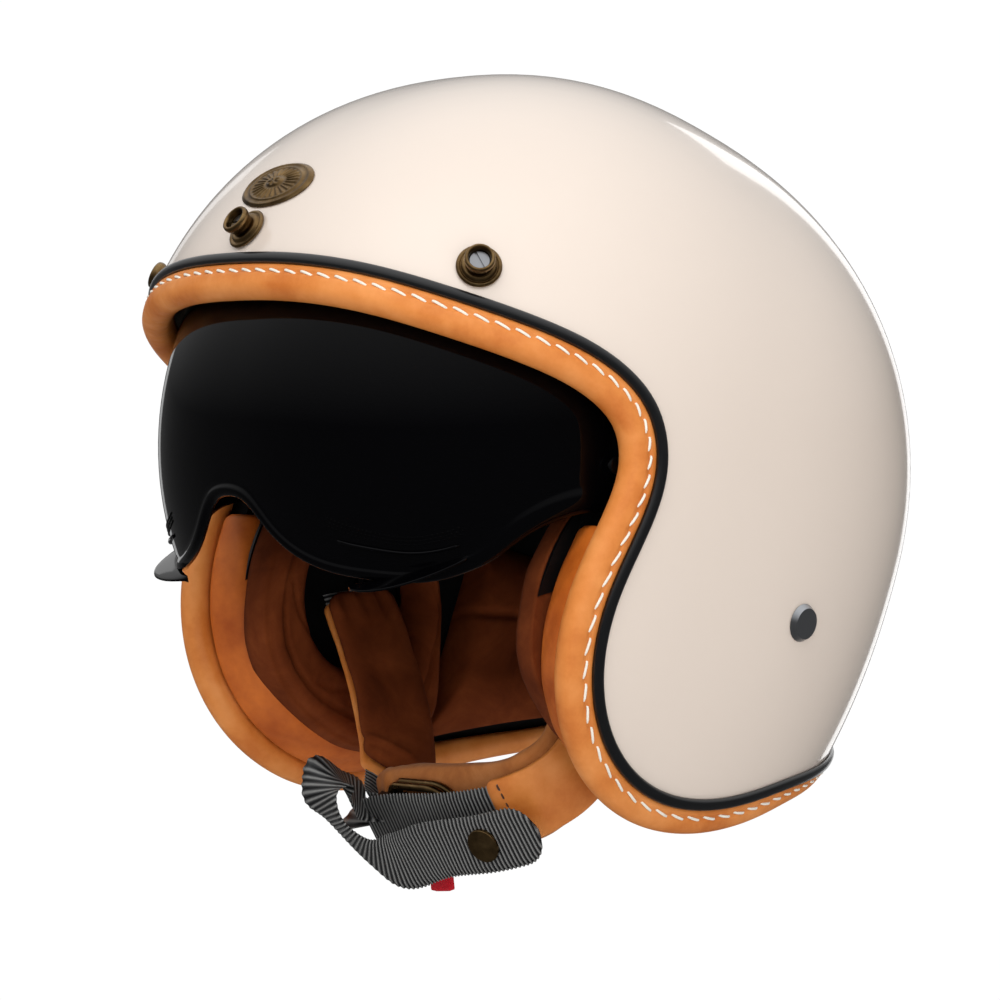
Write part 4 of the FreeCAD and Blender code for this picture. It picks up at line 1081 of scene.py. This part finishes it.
# ---------------------------------------------------------------- build and hand over to the frame
def node_slots():
    """CAD nodes that stay as they are, each with its material."""
    return {
        "foam_liner": [name for name in frame["nodes"] if name.startswith("eps_")],
        "black_plastic": ["cheek_plate_left", "cheek_plate_right", "cheek_plate_snaps", "visor_arm_left",
                          "visor_arm_right", "visor_pivot_bracket_left", "visor_pivot_bracket_right",
                          "visor_friction_washers"],
        "antique_brass": ["d_ring_inner", "d_ring_outer", "snap_stud_nuts", "tail_snap_cap", "tail_snap_socket",
                          "tail_snap_stud"],
        "steel": ["snap_stud_screws", "strap_rivets", "strap_anchor_plates", "strap_rivet_washers", "visor_arm_screws",
                  "visor_bracket_screws", "visor_pivot_pin_left", "visor_pivot_pin_right"],
        "black_webbing": ["anchor_webbing_left", "anchor_webbing_right", "ring_keeper"],
    }


def finish_piece(obj, body, slot, *nodes):
    """Rides on a body and stands for the CAD nodes given, which it hides. The slot is not used."""
    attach(obj, body)
    if nodes:
        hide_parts(*nodes)
    return obj


def emblem(material):
    """Domed oval badge on the brow: a rolled rim round a raised field of fan ribs, a plain generic pattern."""
    hub = V((0, 0, 51.9))
    centre = SHELL.hit(hub, V((0, -1, 0)))
    out = SHELL.normal(centre)
    right = V((1, 0, 0))
    up = out.cross(right).normalized()
    if up.z < 0:
        up = -up
    around, rows = 144, 44

    def height(share, angle):
        dome = 1.55 * (1 - share**2.2)
        rim = 0.55 * bump(share - 0.9, 0.055)
        ring = 0.35 * bump(share - 0.72, 0.03)
        fan = 0.26 * math.cos(24 * angle) * smooth(0.28, 0.36, share) * smooth(0.68, 0.62, share)
        boss = 0.7 * smooth(0.26, 0.16, share)
        rosette = 0.18 * math.cos(6 * angle) * smooth(0.20, 0.14, share) * smooth(0.02, 0.08, share)
        return 0.45 + dome * 0.75 + rim + ring + fan + boss + rosette

    verts = []
    for i in range(rows + 1):
        share = 1 - i / (rows + 1)
        for j in range(around):
            angle = 2 * math.pi * j / around
            flat = centre + right * (18 * share * math.cos(angle)) + up * (10.25 * share * math.sin(angle))
            base = SHELL.hit(V((0, 0, 0)), flat.normalized())
            verts.append(base + SHELL.normal(base) * height(share, angle))
    verts.append(centre + out * height(0, 0))
    low = len(verts)
    for j in range(around):
        angle = 2 * math.pi * j / around
        flat = centre + right * (18 * math.cos(angle)) + up * (10.25 * math.sin(angle))
        base = SHELL.hit(V((0, 0, 0)), flat.normalized())
        verts.append(base + SHELL.normal(base) * 0.3)
    faces = grid_faces(rows + 1, around, wrap=True)
    faces += [(rows * around + j, rows * around + (j + 1) % around, low - 1) for j in range(around)]
    faces += [(low + j, low + (j + 1) % around, (j + 1) % around, j) for j in range(around)]
    faces.append(tuple(low + j for j in range(around)))
    obj = add_mesh("emblem_relief", verts, faces, material)
    weld(obj, 0.001)
    return obj


def stud(name, place, material, profile):
    """A turned stud: profile of (radius, height off the shell) revolved about the shell's normal at place (x, z)."""
    x, z = place
    hub = V((0, 0, z))
    if x == 0:
        foot = SHELL.hit(hub, V((0, -1, 0)))
    else:
        foot = V((math.copysign(SHELL.half_width(-110, z), x), -110, z))
    out = SHELL.normal(foot)
    side = out.orthogonal().normalized()
    other = out.cross(side)
    turns = 72
    verts = [foot + out * h + (side * math.cos(a) + other * math.sin(a)) * r
             for r, h in profile for a in (2 * math.pi * k / turns for k in range(turns))]
    faces = grid_faces(len(profile), turns, wrap=True)
    faces.append(tuple(range(turns))[::-1])
    obj = add_mesh(name, verts, faces, material)
    weld(obj, 0.001)
    return obj


STUD_BASE = [(6.6, 0.25), (7.15, 0.35), (7.5, 0.75), (7.5, 1.15), (7.2, 1.55), (6.7, 1.75), (6.2, 1.6),
             (5.95, 1.35), (5.8, 1.55), (5.6, 2.3), (5.2, 2.55), (4.6, 2.6), (3.4, 2.62), (3.3, 2.55)]
STUD_TOP = [(4.1, 2.7), (4.15, 3.6), (4.3, 4.6), (4.85, 5.2), (5.05, 5.9), (5.05, 6.6), (4.85, 7.25),
            (4.4, 7.55), (3.95, 7.45), (3.65, 7.0),
            (3.5, 6.0), (3.5, 2.8)]


def build():
    made = {}

    def put(obj, body, slot, *nodes):
        made[obj.name] = finish_piece(obj, body, slot, *nodes)
        return obj

    put(outer_shell(MAT["shell_paint"]), "helmet", "shell_paint", "outer_shell")
    put(edge_bead(MAT["black_bead"]), "helmet", "black_bead", "edge_bead")
    put(leather_roll(MAT["tan_leather"]), "helmet", "tan_leather", "leather_edge_roll")
    put(rim_stitches(MAT["stitch_white"]), "helmet", None)
    put(visor_lens(MAT["smoke_lens"]), "visor", "smoke_lens", "visor_lens")
    put(visor_grips(MAT["smoke_lens"]), "visor", "smoke_lens", "visor_grips")
    for side, word in ((1, "left"), (-1, "right")):
        put(facing(side, MAT["orange_leather"]), "helmet", "orange_leather", "leather_facing_" + word)
        put(cheek_pad(side, MAT["suede"]), "helmet", "suede", "cheek_pad_" + word)
    put(crown_pad(MAT["comfort_cloth"]), "helmet", "comfort_cloth", "crown_pad")
    put(head_band(MAT["comfort_cloth"]), "helmet", "comfort_cloth", "head_band")
    put(neck_roll(MAT["suede"]), "helmet", "suede", "neck_roll")
    put(emblem(MAT["antique_brass"]), "helmet", "antique_brass", "emblem_plate")
    places = [("front", (0, 33)), ("left", (1, 30)), ("right", (-1, 30))]
    for word, place in places:
        for part, profile in (("base", STUD_BASE), ("socket", STUD_TOP)):
            turned = stud("stud_" + part + "_" + word, place, MAT["antique_brass"], profile)
            put(turned, "helmet", "antique_brass", "snap_stud_" + part + "s")

    for word, side, stations in (("near", "left", NEAR_STRAP), ("far", "right", FAR_STRAP)):
        band = webbing("strap_webbing_" + word, [stations], MAT["black_webbing"])
        put(band, "chin_strap", "black_webbing", "strap_webbing_" + side)
    tail = webbing("strap_webbing_loop_and_tail", [LOOP + TAIL], MAT["black_webbing"], round_end=True)
    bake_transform(tail)
    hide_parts("strap_loop_webbing", "strap_tail_webbing")
    put(tan_sleeve_near(MAT["tan_leather"]), "chin_strap", "tan_leather", "sleeve_leather_left")
    # the near suede sleeve takes the lighter suede copy (painted light), the far one the darker copy (painted shade)
    put(suede_sleeve_near(MAT["suede_painted_lit"]), "chin_strap", "suede", "sleeve_suede_left")
    put(tan_sleeve_far(MAT["tan_leather"]), "chin_strap", "tan_leather", "sleeve_leather_right")
    put(suede_sleeve_far(MAT["suede"]), "chin_strap", "suede", "sleeve_suede_right")
    put(cross_stitches("sleeve_stitching_near", NEAR_STRAP, 0.535, MAT["stitch_brown"]), "chin_strap", None)
    ribbon = [(V((-3, -35.2, -136.4)), V((1, 0, 0))), (V((-3, -34.6, -141)), V((1, 0, 0))),
              (V((-2.5, -34.2, -147)), V((1, 0, 0)))]
    put(sleeve("pull_tab_ribbon", ribbon, pill(12.0, 2.2, 0.0, 32, 4.0), (0.0, 1.0), MAT["red_ribbon"],
               step=0.5, ends=0.8),
        "pull_tab", "red_ribbon", "pull_tab")

    for slot, nodes in node_slots().items():
        for node in nodes:
            obj = frame["nodes"][node]
            obj.data.materials.clear()
            obj.data.materials.append(MAT[slot])
    return made


PIECES = build()


# ---------------------------------------------------------------- camera, floor and light
def area_light(name, place, target, size, power, colour=(1, 1, 1)):
    data = bpy.data.lights.new(name, "AREA")
    data.shape = "RECTANGLE"
    data.size, data.size_y = size
    data.energy = power
    data.color = colour
    obj = bpy.data.objects.new(name, data)
    obj.location = place
    obj.rotation_euler = (V(target) - V(place)).to_track_quat("-Z", "Y").to_euler()
    bpy.context.scene.collection.objects.link(obj)
    return obj


def background(tree, colour, strength):
    node = tree.nodes.new("ShaderNodeBackground")
    node.inputs["Color"].default_value = colour
    node.inputs["Strength"].default_value = strength
    return node.outputs[0]


def split(tree, ray, plain, special):
    """special for one kind of ray, plain for the others."""
    path = tree.nodes.new("ShaderNodeLightPath")
    mix = tree.nodes.new("ShaderNodeMixShader")
    tree.links.new(path.outputs[ray], mix.inputs[0])
    tree.links.new(plain, mix.inputs[1])
    tree.links.new(special, mix.inputs[2])
    return mix.outputs[0]


def studio():
    """White sweep, soft top light, and strips that draw the long highlights on the shell's and the lens's edges."""
    bpy.context.scene.view_settings.view_transform = "Standard"
    floor = bpy.data.meshes.new("studio_floor")
    floor.from_pydata([(-9, -9, -0.285), (9, -9, -0.285), (9, 9, -0.285), (-9, 9, -0.285)], [], [(0, 1, 2, 3)])
    floor_obj = bpy.data.objects.new("studio_floor", floor)
    bpy.context.scene.collection.objects.link(floor_obj)
    white = Nodes("studio_white", (0.8, 0.8, 0.8, 1), 0.9, specular=0.0)
    glow = white.tree.nodes.new("ShaderNodeEmission")
    glow.inputs["Strength"].default_value = 1.02
    output = next(n for n in white.tree.nodes if n.type == "OUTPUT_MATERIAL")
    white.link(split(white.tree, "Is Camera Ray", white.shader.outputs[0], glow.outputs[0]), output.inputs["Surface"])
    floor.materials.append(white.mat)
    floor_obj.visible_glossy = False

    world = bpy.data.worlds.new("studio_world")
    bpy.context.scene.world = world
    world.use_nodes = True
    tree = world.node_tree
    tree.nodes.clear()
    output = tree.nodes.new("ShaderNodeOutputWorld")
    ambient = background(tree, (1, 0.99, 0.98, 1), 0.55)
    mirrored = background(tree, (1, 1, 1, 1), 1.0)
    place = tree.nodes.new("ShaderNodeTexCoord")
    height = tree.nodes.new("ShaderNodeSeparateXYZ")
    sky = tree.nodes.new("ShaderNodeMapRange")
    for name, value in (("From Min", 0.1), ("From Max", 0.9), ("To Min", 0.10), ("To Max", 1.1)):
        sky.inputs[name].default_value = value
    tree.links.new(place.outputs["Generated"], height.inputs[0])
    tree.links.new(height.outputs["Z"], sky.inputs["Value"])
    tree.links.new(sky.outputs["Result"], mirrored.node.inputs["Strength"])
    seen = background(tree, (1, 1, 1, 1), 1.02)
    lit = split(tree, "Is Glossy Ray", ambient, mirrored)
    tree.links.new(split(tree, "Is Camera Ray", lit, seen), output.inputs["Surface"])

    key = area_light("key_top", (0.45, -0.75, 1.05), (0, 0, 0), (1.3, 1.1), 9)
    fill = area_light("front_fill", (1.30, -0.75, 0.25), (0, 0, 0), (1.3, 1.2), 10)
    for light in (key, fill):
        light.visible_glossy = False
    area_light("strip_right", (-0.50, 1.05, 0.10), (0, 0, 0), (0.22, 1.2), 1.0)
    area_light("strip_left", (-1.20, 0.35, 0.05), (0, 0, 0), (0.16, 1.1), 0.35)
    for light in bpy.data.objects:
        if light.type == "LIGHT":
            light.visible_camera = False

    back = V((0.7594, -0.6507, 0.0076)).normalized()
    up_hint = V((-0.01, -0.0004, 1.0))
    right = up_hint.cross(back).normalized()
    up = back.cross(right).normalized()
    data = bpy.data.cameras.new("photo_camera")
    data.lens = 131.3
    data.sensor_width = 36.0
    data.shift_x = -0.0249
    data.shift_y = -0.029
    data.clip_start = 0.02
    data.dof.use_dof = False
    camera = bpy.data.objects.new("photo_camera", data)
    camera.matrix_world = Matrix.Translation(back * 1.2948) @ Matrix((right, up, back)).transposed().to_4x4()
    bpy.context.scene.collection.objects.link(camera)
    bpy.context.scene.camera = camera


studio()
